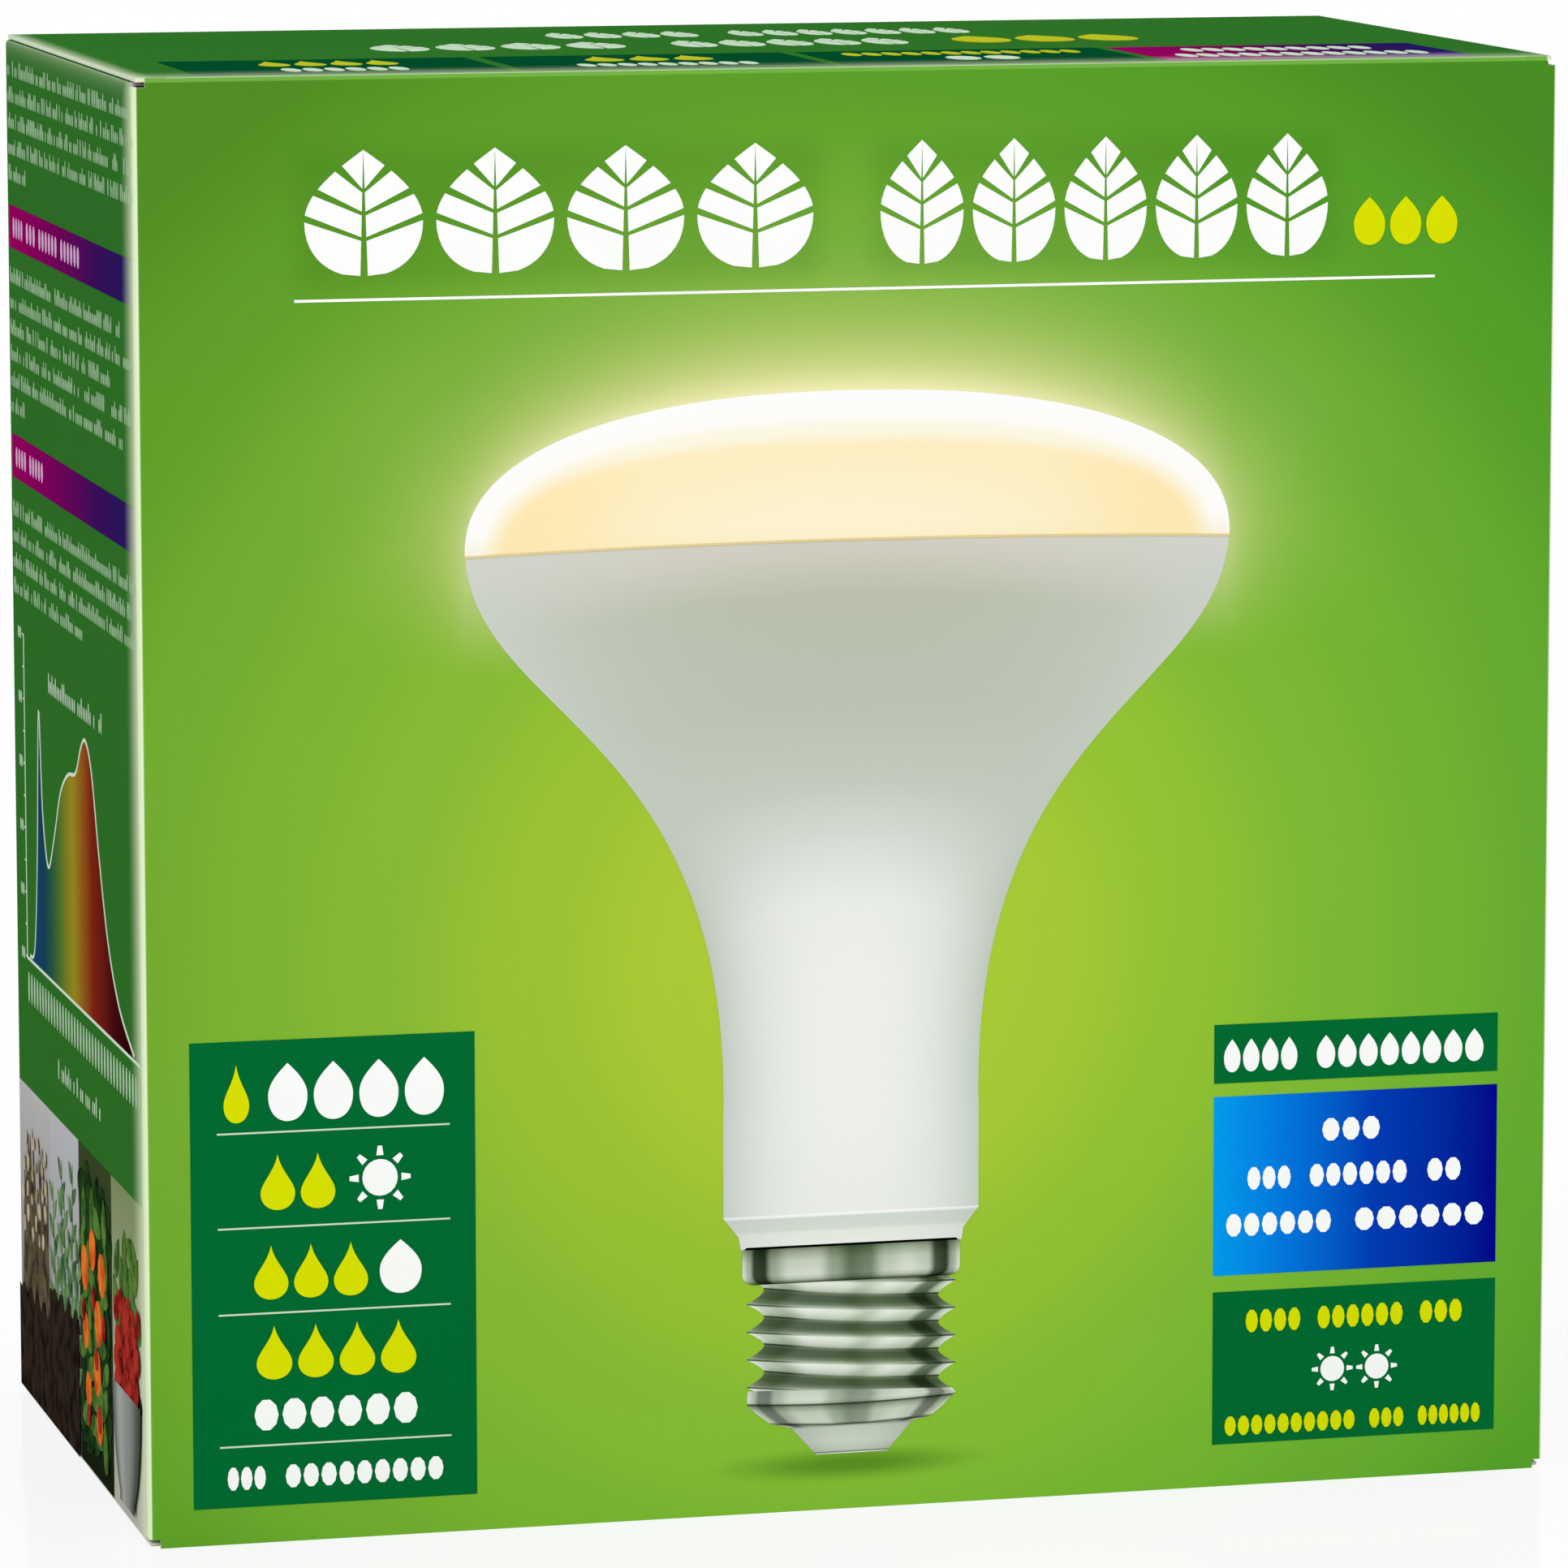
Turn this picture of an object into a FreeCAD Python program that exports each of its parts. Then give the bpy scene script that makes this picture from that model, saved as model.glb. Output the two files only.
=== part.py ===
import FreeCAD, Part
import math
import os
import Sketcher

# A printed retail carton that holds one reflector lamp, closed and standing on its base.
# Millimetres. The origin is the middle of the base, the front faces -Y, X runs right and Z runs up.
# The carton is one sheet of board, folded into a sleeve with a glued seam, four dust flaps and two
# tuck lids. Each lid turns about its crease along the back wall. Inside, a folded board fitment
# stands on the lower dust flaps and holds the lamp by its flare.

SIZES = {
    "board": (0.5, "thickness of the carton board"),
    "width": (180.0, "outside width of the front"),
    "fold": (0.8, "outside radius of a fold"),
    "fold_inside": (0.25, "inside radius of a fold"),
    "flap_fold": (0.45, "outside radius of the folds between side walls and dust flaps"),
    "free_edge": (1.4, "from the sides to the ends of the front and back walls' free edges"),
    "crease_gap": (0.1, "air between a lid and the folds it closes on"),
    "glue_flap": (15.0, "width of the glued strip inside the right wall"),
    "seam_step": (0.2, "how far the right wall's cut edge stays short of the back"),
    "dust_flap": (48.0, "length of a dust flap from the side wall's outside"),
    "dust_setback": (3.0, "from the front wall's inside to the dust flap's front edge"),
    "dust_shoulder": (14.0, "straight part of the dust flap's front and back edges"),
    "dust_taper": (9.0, "how far the dust flap narrows on each side towards its end"),
    "dust_corner": (5.0, "corner radius of a dust flap"),
    "lid_side_gap": (0.4, "from a lid's cut side edge to the side wall's outside"),
    "tuck_length": (18.0, "length of a lid's tuck"),
    "tuck_lean": (7.0, "degrees that a tuck leans away from the front wall"),
    "tuck_gap": (0.3, "from the front wall's inside to the lid's front fold"),
    "tuck_side_gap": (2.0, "from a tuck's side edge to the side wall's inside"),
    "tuck_corner": (12.0, "corner radius of a tuck"),
    "slit": (11.0, "length of the lock slit at each end of a lid's front fold"),
    "slit_width": (0.7, "width of a lock slit"),
    "fitment_gap": (0.4, "from the fitment to the walls round it"),
    "hole_radius": (25.0, "radius of the platform's hole"),
    "seat_gap": (0.15, "from the lamp's flare to the edge of the platform's hole"),
    "tip_room": (25.0, "from the lower dust flaps to the lamp's tip"),
    "headroom": (23.4, "from the lamp's dome to the upper lid"),
    "lamp_gap": (0.5, "from the lamp's rim to the front and back walls"),
    "lamp_diameter": (95.0, "largest diameter of the lamp"),
    "lamp_length": (130.0, "length of the lamp"),
    "dome_height": (18.4, "height of the lamp's dome over its rim"),
    "rim_radius": (18.0, "radius of the bend from the rim into the flare"),
    "flare_angle": (45.0, "degrees that the flare leans from upright"),
    "flare_radius": (40.0, "radius of the bend from the flare into the neck"),
    "neck_radius": (16.0, "radius of the lamp's neck"),
    "collar_radius": (14.2, "radius of the collar under the neck"),
    "collar_top": (29.4, "height of the collar's top over the tip"),
    "neck_foot": (31.0, "height of the neck's lower edge over the tip"),
    "shell_radius": (13.0, "radius of the lamp's screw shell"),
    "shell_top": (25.8, "height of the screw shell's top over the tip"),
    "shell_foot": (6.2, "height of the screw shell's lower edge over the tip"),
    "insulator_radius": (8.6, "radius of the insulator under the shell"),
    "insulator_top": (3.4, "height of the insulator's rim over the tip"),
    "contact_radius": (4.6, "radius of the centre contact"),
    "contact_top": (1.2, "height of the contact's shoulder over the tip"),
}

DEPTH = "(Sizes.lamp_diameter + 2 * Sizes.lamp_gap + 2 * Sizes.board)"
FRONT = f"(-{DEPTH} / 2)"
BACK = f"({DEPTH} / 2)"
SIDE = "(Sizes.width / 2)"
FRONT_INSIDE = f"({FRONT} + Sizes.board)"
BACK_INSIDE = f"({BACK} - Sizes.board)"
SIDE_INSIDE = f"({SIDE} - Sizes.board)"

# Heights, from the base up: the lower folds, the lamp's tip and top, and the closed upper lid.
LOW_FOLD = "(Sizes.board + Sizes.crease_gap)"
TIP = f"({LOW_FOLD} + Sizes.board + Sizes.tip_room)"
TOP = f"({TIP} + Sizes.lamp_length)"
HEIGHT = f"({TOP} + Sizes.headroom + Sizes.board)"
HIGH_FOLD = f"({HEIGHT} - Sizes.board - Sizes.crease_gap)"

# The dome is a cap of one sphere, from the lamp's top down to its rim.
RIM = f"({TOP} - Sizes.dome_height)"
RIM_X = "(Sizes.lamp_diameter / 2)"
DOME = f"(({RIM_X} ^ 2 + Sizes.dome_height ^ 2) / (2 * Sizes.dome_height))"

# The flare bends in from the rim, runs straight at its angle and bends out into the neck.
ANGLE = "(Sizes.flare_angle * 1 deg)"
FLARE_TOP_X = f"({RIM_X} - Sizes.rim_radius * (1 - cos({ANGLE})))"
FLARE_TOP = f"({RIM} - Sizes.rim_radius * sin({ANGLE}))"
FLARE_END_X = f"(Sizes.neck_radius + Sizes.flare_radius * (1 - cos({ANGLE})))"
FLARE_END = f"({FLARE_TOP} - ({FLARE_TOP_X} - {FLARE_END_X}) / tan({ANGLE}))"
NECK_TOP = f"({FLARE_END} - Sizes.flare_radius * sin({ANGLE}))"

# The platform is level with the place where the flare fills its hole.
SEAT_X = "(Sizes.neck_radius + Sizes.flare_radius - Sizes.hole_radius + Sizes.seat_gap)"
PLATFORM = f"({NECK_TOP} + sqrt(Sizes.flare_radius ^ 2 - {SEAT_X} ^ 2))"


def size_sheet(doc):
    """The sheet that holds the driving dimensions."""
    sheet = doc.addObject("Spreadsheet::Sheet", "Sizes")
    for row, (name, (value, meaning)) in enumerate(SIZES.items(), start=1):
        sheet.set(f"A{row}", name)
        sheet.set(f"B{row}", str(value))
        sheet.set(f"C{row}", meaning)
        sheet.setAlias(f"B{row}", name)
    doc.recompute()


def value_of(owner, formula):
    """The number that a formula of the sheet's sizes gives."""
    value = owner.evalExpression(formula)
    return float(getattr(value, "Value", value))


def origin_plane(body, role):
    return next(plane for plane in body.Origin.OriginFeatures if plane.Role == role)


def sketch_on(body, name, role):
    sketch = body.newObject("Sketcher::SketchObject", name)
    sketch.AttachmentSupport = (origin_plane(body, role), [""])
    sketch.MapMode = "FlatFace"
    return sketch


def short_arc(start, end, centre, radius):
    """The shorter arc between two points. A sketch's arcs run anticlockwise, so it also tells which of
    the arc's ends is the first point: (1, 2) when it runs from start to end, else (2, 1)."""
    circle = Part.Circle(centre, FreeCAD.Vector(0, 0, 1), radius)
    start_angle = math.atan2(start.y - centre.y, start.x - centre.x)
    end_angle = math.atan2(end.y - centre.y, end.x - centre.x)
    turn = (end_angle - start_angle) % (2 * math.pi)
    if turn <= math.pi:
        return Part.ArcOfCircle(circle, start_angle, start_angle + turn), (1, 2)
    return Part.ArcOfCircle(circle, end_angle, end_angle + 2 * math.pi - turn), (2, 1)


def tie(sketch, formula, kind, *where):
    """Adds a dimension to the sketch and ties it to the sheet."""
    constraint = sketch.addConstraint(Sketcher.Constraint(kind, *where, value_of(sketch, formula)))
    sketch.setExpression(f"Constraints[{constraint}]", formula)


def draw_loop(sketch, corners):
    """Draws a closed outline. Each corner is a pair of formulas of the sheet's sizes, and may be
    followed by the arc that leaves it: its radius and its centre's two formulas."""
    points = [FreeCAD.Vector(value_of(sketch, x), value_of(sketch, y), 0) for x, y, *_ in corners]
    following = points[1:] + points[:1]
    sides = []
    for (_, _, *arc), start, end in zip(corners, points, following):
        if arc:
            radius, centre_x, centre_y = (value_of(sketch, formula) for formula in arc)
            side, ends = short_arc(start, end, FreeCAD.Vector(centre_x, centre_y, 0), radius)
        else:
            side, ends = Part.LineSegment(start, end), (1, 2)
        sides.append((sketch.addGeometry(side, False), *ends))
    for (side, _, last), (other, first, _) in zip(sides, sides[1:] + sides[:1]):
        sketch.addConstraint(Sketcher.Constraint("Coincident", side, last, other, first))
    for (x, y, *arc), (side, first, _) in zip(corners, sides):
        if x == "0":
            sketch.addConstraint(Sketcher.Constraint("PointOnObject", side, first, -2))
        else:
            tie(sketch, x, "DistanceX", -1, 1, side, first)
        tie(sketch, y, "DistanceY", -1, 1, side, first)
        if arc:
            tie(sketch, arc[0], "Radius", side)


def draw_circle(sketch, radius):
    """Draws a circle about the sketch's origin."""
    circle = Part.Circle(FreeCAD.Vector(), FreeCAD.Vector(0, 0, 1), value_of(sketch, radius))
    index = sketch.addGeometry(circle, False)
    sketch.addConstraint(Sketcher.Constraint("Coincident", index, 3, -1, 1))
    tie(sketch, radius, "Radius", index)


def pad(body, name, sketch, length, symmetric=False):
    feature = body.newObject("PartDesign::Pad", name)
    feature.Profile = sketch
    feature.SideType = "Symmetric" if symmetric else "One side"
    feature.setExpression("Length", length)
    body.Document.recompute()
    return feature


def cut_through(body, name, sketch):
    """Cuts the sketch's outline right through the body, and checks that it took something away."""
    before = body.Shape.Volume
    feature = body.newObject("PartDesign::Pocket", name)
    feature.Profile = sketch
    feature.Type = "ThroughAll"
    feature.SideType = "Symmetric"
    body.Document.recompute()
    if body.Shape.Volume >= before - 1e-6:
        raise RuntimeError(f"{name} cut nothing")
    return feature


def round_edges(body, name, radius, wanted):
    """Rounds the edges that wanted(edge) picks."""
    base = body.Tip
    edges = [f"Edge{i}" for i, edge in enumerate(base.Shape.Edges, start=1) if wanted(edge)]
    if not edges:
        raise RuntimeError(f"{name} found no edge")
    feature = body.newObject("PartDesign::Fillet", name)
    feature.Base = (base, edges)
    feature.setExpression("Radius", radius)
    body.Document.recompute()
    return feature


def runs_along(edge, axis):
    """Whether an edge is straight and parallel to the given axis."""
    if not isinstance(edge.Curve, (Part.Line, Part.LineSegment)):
        return False
    start, end = edge.Vertexes[0].Point, edge.Vertexes[-1].Point
    direction = (end - start).normalize()
    return abs(abs(direction.dot(axis)) - 1) < 1e-6


def middle(edge):
    return (edge.Vertexes[0].Point + edge.Vertexes[-1].Point) / 2


X_AXIS = FreeCAD.Vector(1, 0, 0)
Y_AXIS = FreeCAD.Vector(0, 1, 0)
Z_AXIS = FreeCAD.Vector(0, 0, 1)
NEAR = 1e-4


def carton_sleeve(doc):
    """Four walls with the glued seam at the back right corner, and the four dust flaps folded in."""
    body = doc.addObject("PartDesign::Body", "carton_sleeve")

    # The glue strip turns in from the back wall and lies inside the right wall, whose cut edge
    # stops just short of the back and leaves a fine notch.
    turn = f"({SIDE_INSIDE} - Sizes.fold)"
    walls = sketch_on(body, "wall_section", "XY_Plane")
    draw_loop(walls, [
        (f"-{SIDE}", FRONT),
        (SIDE, FRONT),
        (SIDE, f"{BACK} - Sizes.seam_step"),
        (SIDE_INSIDE, f"{BACK} - Sizes.seam_step"),
        (SIDE_INSIDE, f"{BACK} - Sizes.fold"),
        (turn, BACK),
        (f"-{SIDE}", BACK),
    ])
    draw_loop(walls, [
        (f"-{SIDE_INSIDE}", FRONT_INSIDE),
        (SIDE_INSIDE, FRONT_INSIDE),
        (SIDE_INSIDE, f"{BACK_INSIDE} - Sizes.glue_flap"),
        (f"{SIDE_INSIDE} - Sizes.board", f"{BACK_INSIDE} - Sizes.glue_flap"),
        (f"{SIDE_INSIDE} - Sizes.board", f"{BACK_INSIDE} - Sizes.fold_inside"),
        (f"{SIDE_INSIDE} - Sizes.board - Sizes.fold_inside", BACK_INSIDE),
        (f"-{SIDE_INSIDE}", BACK_INSIDE),
    ])
    walls.setExpression("AttachmentOffset.Base.z", f"{LOW_FOLD} + Sizes.board")
    pad(body, "walls", walls, f"{HIGH_FOLD} - {LOW_FOLD} - 2 * Sizes.board")

    # The right wall's cut edge stays square, where the glued seam closes the fourth corner.
    edge_x = value_of(body, SIDE)
    corners = [
        (-edge_x, value_of(body, FRONT)),
        (edge_x, value_of(body, FRONT)),
        (-edge_x, value_of(body, BACK)),
    ]
    round_edges(body, "wall_folds", "Sizes.fold", lambda edge: runs_along(edge, Z_AXIS) and any(
        abs(middle(edge).x - x) < NEAR and abs(middle(edge).y - y) < NEAR for x, y in corners))

    # The front wall runs past the side folds to the full height, so each tuck goes in behind it.
    # The back wall runs up and down to the creases that the lids turn about.
    for name, outer, inner, bottom, top in (
        ("front_wall", FRONT, FRONT_INSIDE, "0", HEIGHT),
        ("back_wall", BACK_INSIDE, BACK, LOW_FOLD, HIGH_FOLD),
    ):
        strip = sketch_on(body, f"{name}_section", "XY_Plane")
        draw_loop(strip, [
            (f"-{SIDE} + Sizes.free_edge", outer),
            (f"{SIDE} - Sizes.free_edge", outer),
            (f"{SIDE} - Sizes.free_edge", inner),
            (f"-{SIDE} + Sizes.free_edge", inner),
        ])
        strip.setExpression("AttachmentOffset.Base.z", bottom)
        pad(body, name, strip, f"{top} - {bottom}")

    for level, start in (("lower", LOW_FOLD), ("upper", f"{HIGH_FOLD} - Sizes.board")):
        flaps = sketch_on(body, f"{level}_flap_outline", "XY_Plane")
        for sign in ("-1", "1"):
            root = f"{sign} * {SIDE}"
            end = f"{sign} * ({SIDE} - Sizes.dust_flap)"
            near = f"({FRONT_INSIDE} + Sizes.dust_setback)"
            far = f"({BACK_INSIDE} - Sizes.board)"
            draw_loop(flaps, [
                (root, near),
                (f"{root} - {sign} * Sizes.dust_shoulder", near),
                (end, f"{near} + Sizes.dust_taper"),
                (end, f"{far} - Sizes.dust_taper"),
                (f"{root} - {sign} * Sizes.dust_shoulder", far),
                (root, far),
            ])
        flaps.setExpression("AttachmentOffset.Base.z", start)
        pad(body, f"{level}_dust_flaps", flaps, "Sizes.board")

    reach = value_of(body, f"{SIDE} - Sizes.dust_flap")
    round_edges(body, "flap_corners", "Sizes.dust_corner", lambda edge: runs_along(edge, Z_AXIS)
                and abs(abs(middle(edge).x) - reach) < NEAR)

    folds = [value_of(body, LOW_FOLD), value_of(body, HIGH_FOLD)]
    round_edges(body, "flap_folds", "Sizes.flap_fold", lambda edge: runs_along(edge, Y_AXIS)
                and abs(abs(middle(edge).x) - edge_x) < NEAR
                and min(abs(middle(edge).z - level) for level in folds) < NEAR)
    return body


def tuck_lid(doc, name, height_of):
    """A lid panel with its tuck folded in. height_of turns a depth below the lid's face into a height."""
    body = doc.addObject("PartDesign::Body", name)
    lean = "(Sizes.tuck_lean * 1 deg)"
    crease = f"({FRONT_INSIDE} + Sizes.tuck_gap)"
    tip_y = f"({crease} + Sizes.tuck_length * sin({lean}))"
    tip_depth = f"(Sizes.tuck_length * cos({lean}))"
    inner_y = f"({crease} + Sizes.board * (cos({lean}) + (1 + sin({lean})) * tan({lean})))"

    section = sketch_on(body, f"{name}_section", "YZ_Plane")
    draw_loop(section, [
        (BACK, height_of("0")),
        (crease, height_of("0")),
        (tip_y, height_of(tip_depth)),
        (f"{tip_y} + Sizes.board * cos({lean})", height_of(f"{tip_depth} - Sizes.board * sin({lean})")),
        (inner_y, height_of("Sizes.board")),
        (BACK, height_of("Sizes.board")),
    ])
    pad(body, f"{name}_sheet", section, "Sizes.width - 2 * Sizes.lid_side_gap", symmetric=True)

    face = value_of(body, height_of("0"))
    back_y = value_of(body, BACK)
    crease_y = value_of(body, crease)
    inside_y = value_of(body, inner_y)
    inside_z = value_of(body, height_of("Sizes.board"))

    def at(y, z):
        return lambda edge: (runs_along(edge, X_AXIS) and abs(middle(edge).y - y) < NEAR
                             and abs(middle(edge).z - z) < NEAR)

    round_edges(body, f"{name}_front_fold", "Sizes.fold", at(crease_y, face))
    round_edges(body, f"{name}_front_fold_inside", "Sizes.fold_inside", at(inside_y, inside_z))
    round_edges(body, f"{name}_back_fold", "0.48 * Sizes.board", lambda edge: runs_along(edge, X_AXIS)
                and abs(middle(edge).y - back_y) < NEAR)

    # The tuck is narrower than the lid, and a slit at each end of the fold frees it to lock.
    half = f"({SIDE_INSIDE} - Sizes.tuck_side_gap)"
    below = "(Sizes.tuck_length + Sizes.board)"
    sides = sketch_on(body, f"{name}_tuck_sides", "XZ_Plane")
    for sign in ("-1", "1"):
        draw_loop(sides, [
            (f"{sign} * ({half} - Sizes.slit)", height_of("Sizes.board")),
            (f"{sign} * {SIDE}", height_of("Sizes.board")),
            (f"{sign} * {SIDE}", height_of(below)),
            (f"{sign} * {half}", height_of(below)),
            (f"{sign} * {half}", height_of("(Sizes.board + Sizes.slit_width)")),
            (f"{sign} * ({half} - Sizes.slit)", height_of("(Sizes.board + Sizes.slit_width)")),
        ])
    cut_through(body, f"{name}_tuck_shape", sides)

    half_x = value_of(body, half)
    board = value_of(body, "Sizes.board")
    round_edges(body, f"{name}_tuck_corners", "Sizes.tuck_corner", lambda edge: (
        abs(edge.Length - board) < NEAR
        and all(abs(abs(vertex.X) - half_x) < NEAR for vertex in edge.Vertexes)
        and abs(middle(edge).z - face) > value_of(body, "Sizes.tuck_length") / 2))
    return body


def fitment(doc):
    """A board bridge: two legs on the lower dust flaps and a platform with a round hole."""
    body = doc.addObject("PartDesign::Body", "fitment")
    foot = f"({LOW_FOLD} + Sizes.board)"
    half = f"({SIDE_INSIDE} - Sizes.board - Sizes.fitment_gap)"
    section = sketch_on(body, "fitment_section", "XZ_Plane")
    draw_loop(section, [
        (f"-{half}", foot),
        (f"-{half} + Sizes.board", foot),
        (f"-{half} + Sizes.board", f"{PLATFORM} - Sizes.board"),
        (f"{half} - Sizes.board", f"{PLATFORM} - Sizes.board"),
        (f"{half} - Sizes.board", foot),
        (half, foot),
        (half, PLATFORM),
        (f"-{half}", PLATFORM),
    ])
    pad(body, "fitment_sheet", section, f"{DEPTH} - 2 * Sizes.board - 2 * Sizes.fitment_gap", symmetric=True)

    top = value_of(body, PLATFORM)
    under = value_of(body, f"{PLATFORM} - Sizes.board")
    round_edges(body, "fitment_folds", "Sizes.fold",
                lambda edge: runs_along(edge, Y_AXIS) and abs(middle(edge).z - top) < NEAR)
    round_edges(body, "fitment_folds_inside", "Sizes.fold_inside",
                lambda edge: runs_along(edge, Y_AXIS) and abs(middle(edge).z - under) < NEAR)

    hole = sketch_on(body, "hole_outline", "XY_Plane")
    draw_circle(hole, "Sizes.hole_radius")
    cut_through(body, "hole", hole)
    return body


def lamp(doc):
    """The reflector lamp, one closed solid of revolution, seated by its flare in the platform's hole."""
    body = doc.addObject("PartDesign::Body", "lamp")
    section = sketch_on(body, "lamp_section", "XZ_Plane")
    draw_loop(section, [
        ("0", TIP),
        ("Sizes.contact_radius", TIP),
        ("Sizes.contact_radius", f"{TIP} + Sizes.contact_top"),
        ("Sizes.insulator_radius", f"{TIP} + Sizes.insulator_top"),
        ("Sizes.shell_radius", f"{TIP} + Sizes.shell_foot"),
        ("Sizes.shell_radius", f"{TIP} + Sizes.shell_top"),
        ("Sizes.collar_radius", f"{TIP} + Sizes.shell_top"),
        ("Sizes.collar_radius", f"{TIP} + Sizes.collar_top"),
        ("Sizes.neck_radius", f"{TIP} + Sizes.neck_foot"),
        ("Sizes.neck_radius", NECK_TOP,
         "Sizes.flare_radius", "Sizes.neck_radius + Sizes.flare_radius", NECK_TOP),
        (FLARE_END_X, FLARE_END),
        (FLARE_TOP_X, FLARE_TOP,
         "Sizes.rim_radius", f"{RIM_X} - Sizes.rim_radius", RIM),
        (RIM_X, RIM,
         DOME, "0", f"{TOP} - {DOME}"),
        ("0", TOP),
    ])
    turned = body.newObject("PartDesign::Revolution", "lamp_turned")
    turned.Profile = section
    turned.ReferenceAxis = (section, ["V_Axis"])
    turned.Angle = 360
    doc.recompute()
    return body


def check_and_export(doc, pieces):
    """Stops on any failed object or bad solid, then writes each piece under its own name."""
    for item in doc.Objects:
        if "Invalid" in item.State or "Error" in item.State:
            raise RuntimeError(f"{item.Name} failed: {item.State}")
    os.makedirs("parts", exist_ok=True)
    for piece in pieces:
        shape = piece.Shape
        if shape.isNull() or not shape.isValid() or len(shape.Solids) != 1:
            raise RuntimeError(f"{piece.Label} is not one valid solid")
        shape.exportStep(f"parts/{piece.Label}.step")
        box = shape.optimalBoundingBox()
        print(f"{piece.Label}: {box.XLength:.2f} x {box.YLength:.2f} x {box.ZLength:.2f} mm, "
              f"{shape.Volume / 1000:.2f} cm3")


def main():
    doc = FreeCAD.newDocument("lamp_carton")
    size_sheet(doc)
    pieces = [
        carton_sleeve(doc),
        tuck_lid(doc, "top_lid", lambda depth: f"({HEIGHT} - ({depth}))"),
        tuck_lid(doc, "bottom_lid", lambda depth: f"({depth})"),
        fitment(doc),
        lamp(doc),
    ]
    doc.recompute()
    check_and_export(doc, pieces)


main()
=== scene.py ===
# %% [markdown]
# # A printed carton with a reflector lamp inside
#
# The real thing is a folding carton of varnished board: one die-cut sheet, printed while flat, folded
# into a sleeve, glued along one corner and closed by two lids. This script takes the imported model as
# its frame, gives each part of it a finish, and lays the print on the board as thin sheets of ink.

import math

import bpy
from mathutils import Matrix, Vector


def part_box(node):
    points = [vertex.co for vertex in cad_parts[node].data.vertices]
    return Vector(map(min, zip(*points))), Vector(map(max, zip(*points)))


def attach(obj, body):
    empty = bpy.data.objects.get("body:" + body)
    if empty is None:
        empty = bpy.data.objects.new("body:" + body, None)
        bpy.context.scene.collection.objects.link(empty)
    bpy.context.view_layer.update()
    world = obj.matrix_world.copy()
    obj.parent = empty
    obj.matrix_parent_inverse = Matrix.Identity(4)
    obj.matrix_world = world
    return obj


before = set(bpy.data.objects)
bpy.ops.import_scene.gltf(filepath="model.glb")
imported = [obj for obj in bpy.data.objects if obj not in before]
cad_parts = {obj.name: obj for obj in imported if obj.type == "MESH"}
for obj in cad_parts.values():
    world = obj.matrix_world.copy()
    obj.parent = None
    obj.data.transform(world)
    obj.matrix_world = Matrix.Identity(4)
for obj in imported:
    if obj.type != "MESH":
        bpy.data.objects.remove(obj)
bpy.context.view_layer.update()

MM = 0.001
sleeve_low, sleeve_high = (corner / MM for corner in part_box("carton_sleeve"))
WIDTH, DEPTH, HEIGHT = sleeve_high - sleeve_low
lamp_low, lamp_high = (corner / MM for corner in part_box("lamp"))
print(f"carton {WIDTH:.1f} x {DEPTH:.1f} x {HEIGHT:.1f} mm, nodes {sorted(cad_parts)}")

# %% [markdown]
# ## Camera
#
# The carton was seen from its front left and a little from above, through a long lens that keeps its
# upright edges almost parallel. The eye's place, the turn, the dip and the focal length come from the
# carton's seven visible corners, solved for this carton's own proportions. The shift stands for the
# picture having been cropped off the lens's middle.

# %% Camera
EYE = Vector((-267.7, -1067.5, 243.5)) * MM
TURN = math.radians(14.64)
DIP = math.radians(7.78)
LENS = 197.6
SHIFT = -0.0414

camera_data = bpy.data.cameras.new("camera")
camera_data.lens = LENS
camera_data.shift_x = SHIFT
camera_data.shift_y = SHIFT
camera_data.clip_end = 50
camera = bpy.data.objects.new("camera", camera_data)
camera.location = EYE
camera.rotation_euler = (math.pi / 2 - DIP, 0, -TURN)
bpy.context.scene.collection.objects.link(camera)
bpy.context.scene.camera = camera
print(f"camera {EYE.length:.2f} m from the carton's foot")

# %% [markdown]
# ## Node trees written as Python
#
# Materials and Geometry Nodes are both trees of nodes. One small class wraps a socket, so that sums
# and products read as plain Python and add their own Math nodes, and one method adds any other node.

# %% Graphs and channels
def math_node(operation):
    """A method that adds the Math node of one operation."""
    def method(self, *others):
        return self.maths(operation, self, *others)
    return method


class Channel:
    """An output socket. Arithmetic on it adds the Math node that does it."""

    def __init__(self, graph, socket):
        self.graph = graph
        self.socket = socket

    def maths(self, operation, *values):
        return self.graph.node("ShaderNodeMath", {"operation": operation}, dict(enumerate(values)))

    __add__ = __radd__ = math_node("ADD")
    __sub__ = math_node("SUBTRACT")
    __mul__ = __rmul__ = math_node("MULTIPLY")
    __truediv__ = math_node("DIVIDE")
    __pow__ = math_node("POWER")
    __mod__ = math_node("FLOORED_MODULO")
    __gt__ = math_node("GREATER_THAN")
    __lt__ = math_node("LESS_THAN")
    __abs__ = math_node("ABSOLUTE")
    least = math_node("MINIMUM")
    most = math_node("MAXIMUM")

    def __rsub__(self, other):
        return self.maths("SUBTRACT", other, self)

    def __neg__(self):
        return self * -1

    def fading(self, distance):
        """1 at nothing, and falling away by e over each distance."""
        return self.maths("EXPONENT", self / -distance)

    def rise(self, start, end):
        """Goes smoothly from 0 at start to 1 at end."""
        return self.graph.node(
            "ShaderNodeMapRange", {"interpolation_type": "SMOOTHSTEP"},
            {"Value": self, "From Min": start, "From Max": end, "To Min": 0.0, "To Max": 1.0})


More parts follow.
